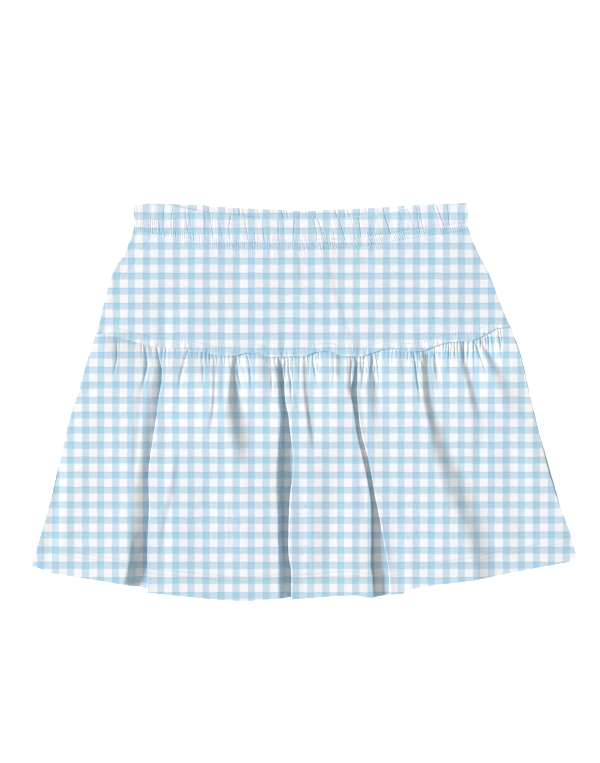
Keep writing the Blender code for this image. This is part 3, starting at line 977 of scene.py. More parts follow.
INTO_BAND = 0.6                          # how far the yoke's top edge reaches past the band's foot
SEWN_FLAT = 3.0                          # width beside the side seams that has no puckers
YOKE_UNEVEN, SEAM_UNEVEN = 0.16, 0.22    # how far the cloth waves between its seams, and at its foot
STITCH_WAVE, STITCH_PITCH = 0.10, 2.6    # how far the stitching's dimples reach, and their spacing
YOKE_COLUMNS = 620


def yoke_row(seam, past_seam, height):
    shares = np.linspace(0, 1, YOKE_COLUMNS)
    foot = crossing(seam, shares) + past_seam
    top = crossing(band_foot, shares) - INTO_BAND

    def row(fall):
        down = blend(top, foot, fall)
        x = across(down, shares)
        return x, down, height(x, down), x, down

    return row


def front_yoke_height(x, down):
    above_seam = seam_down(x) - down
    gathered = np.where(abs(side(x, down) - x) > SEWN_FLAT, 1, 0)
    soft = YOKE_UNEVEN * (uneven(x + 0.3 * down, 17, 21) + 0.75 * uneven(down - 0.2 * x, 23, 22))
    dimples = STITCH_WAVE * np.cos(2 * np.pi * x / STITCH_PITCH)
    stitched = dimples * (1 - ease(0.4, 2.2, abs(above_seam - TOPSTITCH)))
    seam_ripple = SEAM_UNEVEN * uneven(x, 2.2, 23) * (1 - ease(1.0, 7.0, above_seam))
    pressed = dented(x, down, YOKE_DENTS) + folded_down(x, down, YOKE_FOLDS)
    pressed += pressed_in(x, down, SIDE_CREASES, 0.8)
    puffed = puckers(x, down, slanted(x)) + soft + stitched + seam_ripple - pressed
    edge = ON_TOP * (1 - ease(1.0, 9.0, above_seam)) * (1 - 0.5 * ease(110, 150, x))
    return rolled(x, down, FRONT_LAYER + edge + puffed * gathered, YOKE_ROLL)


def crowded(count, power):
    """Shares from 0 to 1 that stand closer together at both ends."""
    t = np.linspace(-1, 1, count)
    return 0.5 + 0.5 * np.sign(t) * (1 - (1 - abs(t)) ** power)


def crowded_up(count, power):
    """Shares from 0 to 1 that stand closer together at the top."""
    return np.linspace(0, 1, count) ** power


front_yoke_row = yoke_row(seam_down, 0.0, front_yoke_height)
yoke_front = lay_cloth("yoke_front_cloth", front_yoke_row, crowded(64, 1.5),
                       waist_gingham)
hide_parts("yoke_front")

# %% [markdown]
# ## The back yoke
#
# The back yoke lies flat on the table with its outer face down. It has the same puckers along the band
# and along its seam, and they rise into the garment, away from the table.

# %% The back yoke
def back_yoke_height(x, down):
    above_seam = back_seam_down(x) - down
    ripple = 0.30 * abs(uneven(x, 2.4, 31)) * (1 - ease(0.5, 8.0, above_seam))
    return BACK_LAYER + 0.8 * np.maximum(puckers(x, down, 0.0), 0) + ripple


back_yoke_row = yoke_row(back_seam_down, -GAP / 2, back_yoke_height)
yoke_back = lay_cloth("yoke_back_cloth", back_yoke_row, crowded(40, 1.6),
                      waist_gingham)
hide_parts("yoke_back")

# %% [markdown]
# ## Tucks in the tier
#
# Four of the tier's folds are so deep that the cloth doubles back under itself. The path through such a
# tuck is an S: its heading swings round by most of a half turn, holds it for a while, and swings back.
# At the yoke seam the tuck is squeezed flat, and it opens within the first centimetre and a half. The
# cloth beside it sinks into a channel, which the lapping edge overhangs.

# %% The path of the cloth through a tuck
TUCKS = table(
    "down left centre right_inner right_outer",
    (122, -121.0, -15.6, 46.5, 50.0),
    (132, -119.2, -15.2, 45.6, 48.8),
    (142, -116.8, -14.8, 44.6, 48.0),
    (150, -117.2, -13.7, 43.4, 48.0),
    (158, -118.6, -13.4, 41.4, 48.0),
    (168, -120.2, -12.4, 43.0, 48.3),
    (180, -121.4, -9.9, 45.0, 49.4),
    (190, -123.1, -9.0, 46.2, 50.8),
    (200, -124.6, -7.7, 48.2, 52.8),
    (215, -126.9, -6.4, 51.8, 57.2),
    (232, -128.3, -7.0, 55.4, 60.4),
    (242, -128.0, -8.4, 57.4, 62.0),
    (255, -127.6, -9.3, 58.8, 64.6),
    (270, -128.2, -9.9, 59.0, 67.6),
    (290, -129.0, -10.2, 59.0, 71.0),
    (300, -129.0, -9.6, 58.8, 72.8),
    (307, -129.0, -7.9, 58.8, 74.0),
    (312, -128.9, -7.6, 59.8, 74.4),
    (332, -129.0, -7.6, 61.0, 75.8),
)
# From left to right, 1 where the right cloth laps over the left and -1 where the left one does.
LAPS = {"left": 1, "centre": 1, "right_inner": -1, "right_outer": 1}
FULL_TURN = 156.0
TUCK_FULL = 14.0      # below the yoke seam, where a tuck has turned all the way
TUCK_SPREAD = 4.0     # width of a tuck at the yoke seam
TUCK_HOLD = 0.86      # share of a tuck's cloth that lies straight between its turns
LEAST_TURN = 1.0      # in degrees, so that even a flat tuck has a rise to measure by
TUCK_COLUMNS = 24
# About two thirds of a tuck's columns stand in its two turns, where it bends most.
tuck_shares = np.interp(np.linspace(0, 1, TUCK_COLUMNS), (0, 0.34, 0.66, 1),
                        (0, (1 - TUCK_HOLD) / 2, (1 + TUCK_HOLD) / 2, 1))


def tuck_section(turn):
    """Shift and rise along the path, for each mm of cloth. The lapping edge has a shift of 0."""
    fine = np.linspace(0, 1, 241)
    middles = (fine[1:] + fine[:-1]) / 2
    swing = np.clip(2 * np.minimum(middles, 1 - middles) / (1 - TUCK_HOLD), 0, 1)
    heading = np.radians(max(turn, LEAST_TURN)) * (1 - np.cos(np.pi * swing)) / 2
    shift = np.append(0, np.cumsum(np.cos(heading))) / len(middles)
    rise = np.append(0, np.cumsum(np.sin(heading))) / len(middles)
    shift -= shift[len(middles) // 2:].min()
    return np.interp(tuck_shares, fine, shift), np.interp(tuck_shares, fine, rise)


print("a tuck's cloth turns through", FULL_TURN, "degrees and back")

# %% How deep the cloth lies beside the tucks
# Along each tuck: how far from the lapping edge the channel's floor reaches, where the cloth beside it
# is up again, and how deep the floor lies below it. Between the two right-hand tucks all is floor.
CHANNELS = {
    "left": table(
        "down foot top deep",
        (124, 0.2, 2.2, 1.0),
        (130, 0.2, 3.6, 1.6),
        (136, 0.2, 5.2, 2.3),
        (142, 0.2, 8.5, 3.1),
        (148, 0.2, 10.0, 3.5),
        (160, 0.2, 11.0, 3.7),
        (196, 0.2, 11.5, 3.7),
        (210, 0.2, 9.6, 3.4),
        (220, 0.2, 9.6, 3.4),
        (230, 0.2, 10.2, 3.8),
        (240, 0.2, 13.8, 4.3),
        (250, 0.2, 15.0, 4.6),
        (260, 0.2, 15.6, 5.1),
        (270, 0.4, 16.6, 5.6),
        (280, 2.4, 17.0, 6.4),
        (290, 6.0, 16.2, 7.4),
        (300, 10.4, 15.8, 7.8),
        (310, 11.6, 17.8, 7.6),
        (320, 11.8, 21.4, 7.2),
        (332, 12.0, 24.0, 6.2),
    ),
    "centre": table(
        "down foot top deep",
        (128, 2.0, 4.8, 1.0),
        (136, 2.5, 5.6, 1.7),
        (142, 3.0, 6.0, 3.2),
        (150, 4.0, 6.4, 4.2),
        (160, 3.2, 5.8, 4.8),
        (170, 3.2, 6.0, 5.4),
        (180, 4.6, 7.5, 6.2),
        (190, 5.8, 8.8, 5.8),
        (200, 7.6, 11.0, 5.3),
        (210, 9.0, 13.0, 5.4),
        (220, 10.0, 14.0, 5.7),
        (230, 9.8, 14.0, 6.2),
        (240, 8.6, 12.6, 7.2),
        (250, 7.6, 11.4, 8.0),
        (260, 6.8, 10.2, 8.4),
        (270, 6.2, 9.6, 9.0),
        (280, 6.0, 9.4, 9.0),
        (290, 5.0, 8.2, 9.0),
        (300, 4.8, 8.8, 8.6),
        (310, 5.4, 11.1, 8.2),
        (320, 4.8, 10.6, 7.4),
        (334, 4.0, 10.4, 6.6),
    ),
}
BOX = table(
    "down deep",
    (124, 1.0),
    (132, 1.6),
    (143, 2.3),
    (160, 3.0),
    (170, 2.6),
    (188, 2.2),
    (215, 2.2),
    (233, 2.6),
    (251, 3.2),
    (269, 4.0),
    (287, 4.4),
    (305, 4.8),
    (332, 5.0),
)
CHANNELS["right_inner"] = CHANNELS["right_outer"] = BOX


def channel_floor(name, x, down):
    floor, crest = tier_heights(x, down)
    return np.maximum(floor, crest - curve(CHANNELS[name], "down", "deep", down))


for name, rows in CHANNELS.items():
    print(f"beside tuck {name} the cloth lies up to {rows['deep'].max():.1f} mm deep")

# %% [markdown]
# ## The hem
#
# The hem is cut level, but each fold carries it a little up or down, so it steps where a tuck parts one
# panel from the next.

# %% The front hem, panel by panel
HEM = table(
    "panel x down",
    (0, -227.8, 305.6),
    (0, -210, 312.4),
    (0, -176, 317.6),
    (0, -131, 325.2),
    (1, -129, 328.8),
    (1, -70, 334.6),
    (1, -47, 335.9),
    (1, -9, 332.6),
    (2, -8, 334.4),
    (2, 28, 331.4),
    (2, 46, 330.7),
    (2, 61, 332.9),
    (3, 61, 332.9),
    (3, 75, 329.9),
    (4, 75, 330.2),
    (4, 86, 329.6),
    (4, 88, 327.0),
    (4, 101, 323.7),
    (4, 146, 318.2),
    (4, 200, 307.6),
    (4, 226, 302.8),
    (4, 234.4, 296.6),
)


def hem_down(panel, x):
    rows = HEM["panel"] == panel
    return np.interp(x, HEM["x"][rows], HEM["down"][rows])


print(f"the hem runs between {HEM['down'].min():.0f} and {HEM['down'].max():.0f} mm down")

# %% One tuck, at one level
FIRST_DOWN = -1.4     # the tier's top edge lies this far above the seam line, under the yoke
REPEAT_MM = REPEAT / MM
# Each tuck hides one repeat of the check, between these shares of its cloth: flat, and fully turned.
HIDDEN_FLAT, HIDDEN_TURNED = (0.42, 0.58), (0.10, 0.72)


def tuck_points(order, name, fall):
    """x, down and height of one tuck from left to right, and how much of the print it has used up."""
    seam_edge = curve(TUCKS, "down", name, TUCKS["down"][0])
    hem_edge = curve(TUCKS, "down", name, TUCKS["down"][-1])
    hems = hem_down(order, hem_edge), hem_down(order + 1, hem_edge)
    turned = ease(0, TUCK_FULL, (sum(hems) / 2 - seam_down(seam_edge)) * fall)
    shifts, rises = tuck_section(FULL_TURN * turned)
    hidden = [blend(flat, full, turned) for flat, full in zip(HIDDEN_FLAT, HIDDEN_TURNED)]
    used = ease(*hidden, tuck_shares)
    seams = seam_down(seam_edge + LAPS[name] * TUCK_SPREAD * tuck_shares)
    if LAPS[name] < 0:
        shifts, rises, used, seams = -shifts[::-1], rises[::-1], 1 - used[::-1], seams[::-1]
    down = blend(seams + FIRST_DOWN, blend(*hems, tuck_shares), fall)
    edge = curve(TUCKS, "down", name, down)
    low, crest = channel_floor(name, edge, down), tier_heights(edge, down)[1]
    path = blend(TUCK_SPREAD, (crest - low) / rises.max(), turned)
    return edge + path * shifts, down, blend(low, crest, rises / rises.max()), used * REPEAT_MM


tucks_at_seam = [tuck_points(order, name, 0.0) for order, name in enumerate(LAPS)]
tucks_at_hem = [tuck_points(order, name, 1.0) for order, name in enumerate(LAPS)]
for name, (x, down, height, used) in zip(LAPS, tucks_at_hem):
    taken = np.hypot(np.diff(x), np.diff(height)).sum()
    print(f"tuck {name}: {taken:.1f} mm of cloth at the hem")

# %% [markdown]
# ## Folds between the tucks
#
# Softer folds run down from the gathers. In each one the cloth falls from a ridge on its left to a
# valley on its right, in a narrow fall near the seam and a broad one further down. The deepest gathers
# differ from one another, so they are laid out one by one as grooves, and the small ones between them
# come in clusters.

# %% Folds and grooves of the front tier
FRONT_FOLDS = [
    narrow(30, 20, (148, -140, -131, 0), (165, -141, -134, 0.6), (185, -142, -136, 0.7),
           (212, -144, -138, 0.6), (238, -145, -139, 0)),
    narrow(10, 14, (124, -78, -76.6, 0), (129, -76, -74.4, 1.2), (135, -75, -73.2, 1.3),
           (150, -74.9, -72.9, 1.3), (164, -75.4, -73, 1.2), (178, -77.4, -74, 0.9),
           (195, -80, -75.6, 0)),
    broad(50, 30, (127, -58, -57, -56, -55, 0), (131, -58, -57, -56, -55, 0.5),
          (138, -59.4, -58.4, -57, -56, 0.7), (146, -60.3, -59.3, -57.4, -56.1, 0.8),
          (154, -61.3, -59.9, -56.9, -54.8, 0.75), (162, -62.4, -60.3, -56.2, -52, 0.65),
          (170, -63.6, -59.6, -54.8, -48.5, 0.58), (178, -65.5, -58.4, -53.2, -45.5, 0.52),
          (186, -64, -56.4, -53.2, -43, 0.47), (194, -63, -55, -52, -42, 0.43),
          (202, -61, -53, -48.8, -42.5, 0.35), (210, -58, -51, -49, -44, 0.26),
          (218, -56, -50, -48, -44, 0.08), (226, -55, -49, -47, -43, 0)),
    narrow(8, 28, (127, 1.2, 2.8, 0), (131, 1.2, 3, 1.2), (140, 1.2, 3.7, 1.6), (152, 1.2, 4.6, 1.9),
           (165, 2.2, 6, 2), (180, 3.8, 8, 1.8), (194, 6, 10.4, 1), (208, 8, 12, 0)),
    narrow(12, 3, (126, 43.5, 45.6, 0), (134, 40.6, 44, 1), (142, 39.6, 43.4, 1.1),
           (150, 38.6, 43, 1.2), (158, 38.4, 42.4, 1), (164, 40, 43, 0)),
    broad(12, 40, (126, 59, 59.6, 61, 61.8, 0), (132, 58.8, 60, 61.4, 63, 0.4),
          (140, 57.6, 59.6, 62, 63.4, 0.36), (148, 55, 57.6, 62.4, 64, 0.35),
          (156, 53, 57, 63, 65.4, 0.33), (165, 53, 58.5, 63, 67.4, 0.33), (172, 53, 59, 63, 69, 0.27),
          (180, 53, 59, 64, 70, 0.16), (192, 53, 59, 64, 70, 0.06), (204, 53, 59, 64, 70, 0)),
    broad(40, 70, (122, 100, 102, 105, 107, 0), (127, 100, 102.4, 105.6, 108, 0.4),
          (132, 100, 103, 106, 109, 0.55), (138, 101, 103, 105.4, 107.4, 0.65),
          (144, 101.6, 103.2, 105.2, 106.8, 0.7), (156, 102.2, 103.6, 105.8, 108, 0.65),
          (168, 103, 104.6, 107.2, 111.5, 0.55), (180, 105, 107.2, 109.2, 116, 0.5),
          (192, 107.8, 111, 113, 122, 0.37), (204, 108.5, 113, 118.8, 126, 0.35),
          (216, 111.5, 118.6, 121.6, 131, 0.38), (228, 115, 122.6, 131, 137, 0.27),
          (240, 118.6, 126.6, 131, 146, 0.26), (252, 125, 132, 136.5, 150, 0.29),
          (264, 130.6, 137.6, 141.6, 157, 0.27), (276, 134.6, 142.6, 146, 160, 0.26),
          (288, 138.6, 147.6, 150, 164, 0.24), (300, 142.6, 149, 157.6, 167, 0.21),
          (312, 146.6, 150.4, 152, 170, 0.25), (330, 149, 153, 155, 173, 0.25)),
    broad(20, 30, (114.5, 135.6, 136.2, 137, 138, 0), (119, 134.8, 135.8, 136.6, 137.6, 0.5),
          (126, 134, 136, 137, 138.6, 0.5), (134, 133.6, 137.6, 138.6, 140.6, 0.42),
          (144, 136.6, 139, 141, 143.6, 0.45), (156, 139.8, 142.2, 144, 146.8, 0.45),
          (168, 141.6, 144, 146, 149.4, 0.34), (180, 142, 147, 151, 155, 0.12),
          (205, 144, 149, 153, 158, 0.05), (230, 146, 151, 155, 160, 0)),
    broad(20, 30, (113, 149.4, 150.4, 151.6, 152.8, 0), (118, 150.4, 151.6, 152.6, 153.8, 0.55),
          (125, 153, 155, 156.6, 158.4, 0.5), (132, 155.8, 158.4, 161, 164.4, 0.42),
          (144, 159.6, 164.6, 167, 173, 0.31), (156, 163, 169, 172.6, 179, 0.18),
          (168, 168, 174, 178, 184, 0.09), (184, 174, 180, 184, 190, 0)),
    narrow(20, 25, (204, -106.4, -102.4, 0), (224, -108, -103.4, 0.5), (240, -111.6, -106.4, 0.8),
           (255, -115.2, -109.8, 0.8), (275, -119, -115, 0.45), (305, -122.4, -119, 0)),
    broad(1, 6, (148, 48.2, 48.4, 49, 50, 0), (156, 48.2, 48.4, 49.4, 53, 0.12),
          (168, 48.4, 48.6, 50, 54, 0.20), (182, 49.2, 49.4, 51, 54, 0.22), (196, 51.4, 51.6, 53, 57, 0.14),
          (212, 55.6, 55.8, 57, 61, 0)),
    broad(2, 6, (262, 66, 66.2, 68, 74, 0), (272, 68, 68.2, 70, 82, 0.16), (290, 71, 71.2, 73, 84, 0.18),
          (306, 74, 74.2, 76, 86, 0.17), (332, 76, 76.2, 78, 86, 0.15)),
    broad(0.4, 3, (129, -16.8, -16.4, -13.4, -12.4, 0), (134, -16.4, -16, -13.4, -12.4, 0.22),
          (141, -16, -15.8, -13.6, -12.8, 0.22), (148, -15, -14.8, -13.6, -13, 0)),
    broad(2, 4, (225, -8, -7.8, -6, 6, 0), (242, -9.2, -9, -7, 6, 0.1), (268, -10.4, -10.2, -8, 5, 0.12),
          (290, -10.8, -10.6, -9, 5, 0.11), (306, -8.6, -8.4, -7, 6, 0.11), (335, -8.3, -8.1, -7, 6, 0.09)),
    broad(2, 4, (195, -125, -124.8, -123, -112, 0), (215, -127.8, -127.6, -126, -112, 0.09),
          (250, -128.8, -128.6, -127, -112, 0.1), (300, -130.3, -130, -128, -113, 0.1),
          (335, -130.3, -130, -128, -113, 0.08)),
]
GROOVES = [
    groove((112, -155.6, -154, 0), (117, -156.6, -154.8, 0.5), (128, -156.6, -154.6, 0.6),
           (136, -157.4, -155.4, 0.4), (147, -161, -157, 0)),
    groove((118, -132.6, -131, 0), (124, -132.2, -130.2, 0.8), (130, -131.6, -129, 0.9),
           (136, -131.6, -128.4, 0.9), (142, -132.4, -129.2, 0.8), (149, -134, -130.8, 0.5),
           (162, -138, -133.6, 0)),
    groove((121.5, -96.6, -95, 0), (125, -96.8, -95.4, 0.9), (132, -99.4, -97.8, 1.2),
           (138, -101, -99.2, 1), (146, -103, -100, 0.6), (160, -105, -100.6, 0)),
    groove((123, -84.2, -82.8, 0), (128, -84.2, -82.6, 0.8), (139, -83.8, -82, 0.8),
           (154, -84, -81.6, 0)),
    groove((128, -55.4, -53.4, 0), (133, -55, -53.2, 0.8), (142, -54.6, -52.4, 0.8),
           (160, -50, -46, 0)),
    groove((126, -47, -45.4, 0), (132, -45.6, -43.8, 0.8), (142, -44, -41.8, 0.7),
           (158, -43, -40.6, 0)),
    groove((127, -12.2, -10.6, 0), (130, -11.6, -10, 1.2), (142, -11.2, -9.2, 1.3),
           (149, -10, -7.6, 1.1), (158, -9.4, -6.8, 0.6), (172, -9, -6.4, 0)),
    groove((126, 10, 11.8, 0), (131, 9.6, 11.2, 1), (140, 10.4, 12.6, 0.9), (155, 13, 16.6, 0)),
    groove((125, 53, 55, 0), (130, 53, 55, 1), (136, 52.4, 54.6, 1.1), (146, 51, 55, 0.7),
           (156, 50, 55, 0)),
    groove((124, 59.4, 61, 0), (129, 59, 61.4, 1.2), (136, 58.4, 61.8, 1.1),
           (146, 57.4, 61.4, 0.4), (152, 57, 61, 0)),
    groove((122, 94, 95.6, 0), (127, 94.6, 96.2, 1), (136, 95.6, 97.6, 1.2),
           (150, 97.2, 99.2, 1.1), (160, 99, 101, 0.4), (170, 100, 102, 0)),
    groove((116, 112, 113.4, 0), (120, 112.6, 114.2, 0.7), (126, 112.2, 114.6, 1),
           (132, 112, 115.4, 1.1), (140, 112.8, 117.4, 0.8), (150, 114, 119, 0.3),
           (160, 115, 120, 0)),
    groove((112, 145, 146.6, 0), (118, 146.6, 148.8, 1.1), (126, 149.6, 151.4, 1.1),
           (134, 152.2, 154.2, 0.8), (143, 156, 158.6, 0)),
    groove((126, -26.8, -25.4, 0), (131, -26.6, -25, 0.5), (150, -26, -23.6, 0.55),
           (158, -26, -23, 0.3), (166, -26, -23, 0)),
    groove((122, 26.6, 28.4, 0), (130, 26.8, 28.8, 0.3), (148, 26.6, 28.6, 0.3),
           (160, 26, 29, 0)),
]
print(len(FRONT_FOLDS), "folds and", len(GROOVES), "grooves in the front tier")

# %% Its dents, small creases and gathers
TIER_DENTS = table(
    DENT,
    (-200, 176, -154, 140, 12, 0.45),
    (-66, 130, -66, 172, 3, 0.35),
    (-72, 205, -80, 345, 30, 0.7),
    (26, 190, 26, 345, 18, 0.6),
    (2, 230, 2, 345, 7, 0.30),
    (-58, 244, -58, 306, 5, 0.25),
    (52, 226, 54, 270, 6, 0.30),
    (150, 184, 152, 246, 10, 0.35),
    (178, 190, 186, 300, 14, 0.45),
    (-202, 200, -214, 320, 9, 0.6),
)
TIER_CREASES = table(
    CREASE,
    (-134.8, 118.4, -134.6, 142, 0.0, 0.8, 0.8, 0.39),
    (-127.0, 119.6, -126.2, 136, 0.5, 0.8, 0.8, 0.61),
    (-122.6, 120.4, -119.6, 136, 0.4, 0.8, 0.8, 0.49),
    (-116.6, 121.0, -117.4, 143, -0.6, 0.8, 0.8, 0.61),
    (-113.0, 121.0, -115.0, 140, -0.4, 0.8, 0.8, 0.39),
    (-50.8, 127.5, -44.6, 152, -0.8, 0.8, 0.8, 0.61),
    (-18.6, 129.0, -18.8, 140, 0.0, 0.8, 0.8, 0.55),
    (-13.6, 129.0, -12.2, 142, 0.4, 0.8, 0.8, 0.61),
    (7.6, 127.0, 5.4, 139, 0.8, 0.8, 0.8, 0.61),
    (107.6, 122.5, 105.0, 142, 0.3, 0.8, 0.8, 0.78),
    (99.4, 123.5, 103.8, 142, 0.2, 0.8, 0.8, 0.78),
    (127.7, 116.0, 127.9, 128, 0.0, 0.8, 0.8, 0.49),
    (153.8, 110.6, 158.6, 118, 0.2, 0.8, 0.8, 0.68),
    (163.8, 107.0, 171.0, 118, -0.6, 0.8, 0.8, 0.61),
)
GATHERS = table(
    "start end spacing length depth",
    (-166, -140, 4.2, 9, 0.22),
    (-135, -113, 2.3, 26, 0.56),
    (-112, -86, 3.4, 14, 0.28),
    (-86, -51, 2.8, 18, 0.60),
    (-51, -22, 3.2, 20, 0.30),
    (-21, 16, 2.4, 24, 0.85),
    (18, 40, 4.0, 12, 0.30),
    (40, 67, 2.1, 28, 1.12),
    (68, 94, 3.2, 16, 0.60),
    (94, 119, 2.3, 28, 1.00),
    (119, 150, 2.3, 24, 1.15),
    (150, 169, 2.1, 22, 1.20),
)
gathers = gather_clusters(GATHERS, seam_down, 41)
print(len(gathers["depth"]), "small gathers leave the front seam")


# %% The panels between the tucks
PANEL_COLUMNS = (130, 214, 110, 8, 248)    # into how many steps each panel is cut across
SIDE_CROWDING = 1.15  # how strongly the columns crowd towards the side seams
TUCK_NAMES = list(LAPS)
BOX_PANEL = 3         # the panel between the two right-hand tucks
BANK_CURVE = 1.7      # above 1, a channel's bank is steeper at its foot than at its top


def panel_ends(tucks, fall):
    """x of the left and the right end of every panel."""
    side_downs = (
        blend(seam_down(SEAM["x"].min()), HEM["down"][0], fall),
        blend(seam_down(SEAM["x"].max()), HEM["down"][-1], fall),
    )
    lefts = [side(-1, side_downs[0])] + [x[-1] for x, *_ in tucks]
    rights = [x[0] for x, *_ in tucks] + [side(1, side_downs[1])]
    return list(zip(lefts, rights))


def panel_shares(panel):
    shares = np.linspace(0, 1, PANEL_COLUMNS[panel] + 1)
    if panel == 0:
        return shares[:-1] ** SIDE_CROWDING
    if panel == len(LAPS):
        return 1 - (1 - shares[1:]) ** SIDE_CROWDING
    return shares[1:-1]


def panel_height(panel, x, down):
    """The crest, coming down into a channel at the panel's right. The box panel is all floor."""
    crest = tier_heights(x, down)[1]
    if panel == BOX_PANEL:
        return channel_floor(TUCK_NAMES[panel], x, down)
    if panel == len(LAPS) or "foot" not in CHANNELS[TUCK_NAMES[panel]]:
        return crest
    name = TUCK_NAMES[panel]
    foot, top = (curve(CHANNELS[name], "down", of, down) for of in ("foot", "top"))
    away = abs(x - curve(TUCKS, "down", name, down))
    standing = 1 - (1 - np.clip((away - foot) / (top - foot), 0, 1)) ** BANK_CURVE
    return blend(channel_floor(name, x, down), crest, standing)


in_panels = sum(len(panel_shares(panel)) for panel in range(len(PANEL_COLUMNS)))
print(in_panels, "columns of points in the panels and", len(LAPS) * TUCK_COLUMNS, "in the tucks")

# %% One row of the front tier
HEM_FOLD = 18.2       # from the hem up to its stitching
SEAM_RIDGE = 0.13     # how far the side seams' edge stands up
TIER_UNEVEN = 0.20    # how far the cloth waves between its seams
FLOOR_GIVE = 0.25     # how much of a crease is left where it would press into the layers below
PULLED_X = -0.6, 0.1  # how far the check lies off its place left and right of the middle tuck
PULLED_DOWN = 0.5     # the same downwards, at the hem
MIDDLE_TUCK, PULL_GROWS = (-14, -6), (140, 260)    # where these two grow: across, and down
FRONT_LINES = 54
ends_at_seam, ends_at_hem = panel_ends(tucks_at_seam, 0.0), panel_ends(tucks_at_hem, 1.0)


def panel_points(panel, fall, here):
    shares = panel_shares(panel)
    seam = seam_down(blend(*ends_at_seam[panel], shares)) + FIRST_DOWN
    hem = hem_down(panel, blend(*ends_at_hem[panel], shares))
    down = blend(seam, hem, fall)
    x = blend(*here[panel], shares)
    return x, down, panel_height(panel, x, down), panel * REPEAT_MM + 0 * x


def detailed(x, down, height):
    """The same cloth with its folds, its creases, its soft unevenness and the edge of its side seams."""
    from_side = abs(side(x, down) - x)
    below = down - seam_down(x)
    soft = TIER_UNEVEN * (uneven(x + 0.25 * down, 19, 51) + 0.75 * uneven(down - 0.3 * x, 27, 52))
    free = ease(0, 0.6, from_side)
    ridge = SEAM_RIDGE * ease(0, 0.2, from_side) * (1 - ease(0.3, 0.5, from_side))
    lowest = tier_heights(x, down)[0] - UNDER
    sharp = np.maximum(pressed_in(x, down, TIER_CREASES), pressed_in(x, down, gathers))
    sharp = np.maximum(sharp, grooved(x, down, GROOVES))
    deep = sharp + folded_down(x, down, FRONT_FOLDS) + dented(x, down, TIER_DENTS)
    creased = height + ridge + free * (soft * ease(2, 20, below) - deep)
    held_up = lowest + FLOOR_GIVE * (creased - lowest)
    creased = np.maximum(creased, np.minimum(held_up, height))
    return creased - UNDER * (1 - ease(-1.0, 2.5, below))


def front_tier_row(fall):
    tucks = [tuck_points(order, name, fall) for order, name in enumerate(LAPS)]
    here = panel_ends(tucks, fall)
    parts = []
    for panel in range(len(PANEL_COLUMNS)):
        parts.append(panel_points(panel, fall, here))
        if panel < len(tucks):
            x, down, height, used = tucks[panel]
            parts.append((x, down, height, used + panel * REPEAT_MM))
    x, down, height, used = np.concatenate(parts, axis=1)
    pulled_x = blend(*PULLED_X, ease(*MIDDLE_TUCK, x))
    pulled_down = PULLED_DOWN * ease(*PULL_GROWS, down)
    return x, down, detailed(x, down, height), x + used + pulled_x, down + pulled_down


tier_front = lay_cloth("tier_front_cloth", front_tier_row, crowded_up(FRONT_LINES, 1.7),
                       tier_gingham)
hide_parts("tier_front")

# %% [markdown]
# ## The back tier
#
# The back tier lies on the table, so its folds run inwards, as long soft ridges under the shorts. Seen
# from below they are grooves in a flat panel. Its own gathers start at the back seam.

# %% Folds and gathers of the back tier
BACK_FOLDS = table(
    "x_seam x_hem reach rise",
    (-138, -176, 13, 0.9),
    (-96, -116, 11, 1.0),
    (-41, -62, 14, 0.7),
    (14, 9, 12, 1.0),
    (62, 84, 14, 0.9),
    (112, 138, 11, 0.8),
    (146, 188, 12, 0.7),
)
BACK_HEM_LOW, BACK_HEM_LEFT, BACK_HEM_RIGHT = 332.0, 304.5, 294.5
BACK_GATHERS = table(
    "start end spacing length depth",
    (-166, 168, 3.1, 11, 0.55),
)
BACK_CREASES = gather_clusters(BACK_GATHERS, back_seam_down, 61)
BACK_COLUMNS, BACK_LINES = 470, 52
back_seam_ends = side(-1, back_seam_down(SEAM["x"].min())), side(1, back_seam_down(SEAM["x"].max()))
back_hem_ends = side(-1, BACK_HEM_LEFT), side(1, BACK_HEM_RIGHT)
back_x_seam = np.linspace(*back_seam_ends, BACK_COLUMNS)
back_x_hem = np.interp(back_x_seam, [back_seam_ends[0], *BACK_FOLDS["x_seam"], back_seam_ends[1]],
                       [back_hem_ends[0], *BACK_FOLDS["x_hem"], back_hem_ends[1]])


def back_tier_row(fall):
    corner = np.where(back_x_hem < 0, BACK_HEM_LEFT, BACK_HEM_RIGHT)
    hem = blend(BACK_HEM_LOW, corner, (back_x_hem / side(back_x_hem, corner)) ** 2)
    down = blend(back_seam_down(back_x_seam) + GAP / 2, hem, fall)
    x = blend(back_x_seam, back_x_hem, fall)
    x[0], x[-1] = side(-1, down[0]), side(1, down[-1])
    ridge = 0 * x
    for x_seam, x_hem, reach, rise in zip(*BACK_FOLDS.values()):
        off = abs(x - blend(x_seam, x_hem, fall)) / reach
        ridge = np.maximum(ridge, rise * (1 - ease(0, 1, off)))
    lift = BACK_RIDGE * ridge * fold_lift(x, down)
    gathered = pressed_in(x, down, BACK_CREASES) * ease(1.0, 6.0, abs(side(x, down) - x))
    return x, down, BACK_LAYER + lift + gathered, x, down


tier_back = lay_cloth("tier_back_cloth", back_tier_row, crowded_up(BACK_LINES, 1.4),
                      tier_gingham)
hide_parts("tier_back")

# %% [markdown]
# ## The shorts
#
# A skort is a skirt with shorts inside. Each leg has a front and a back of plain jersey, and they meet
# in the middle down to the crotch. They lie flat between the skirt's layers, with a few soft wrinkles.

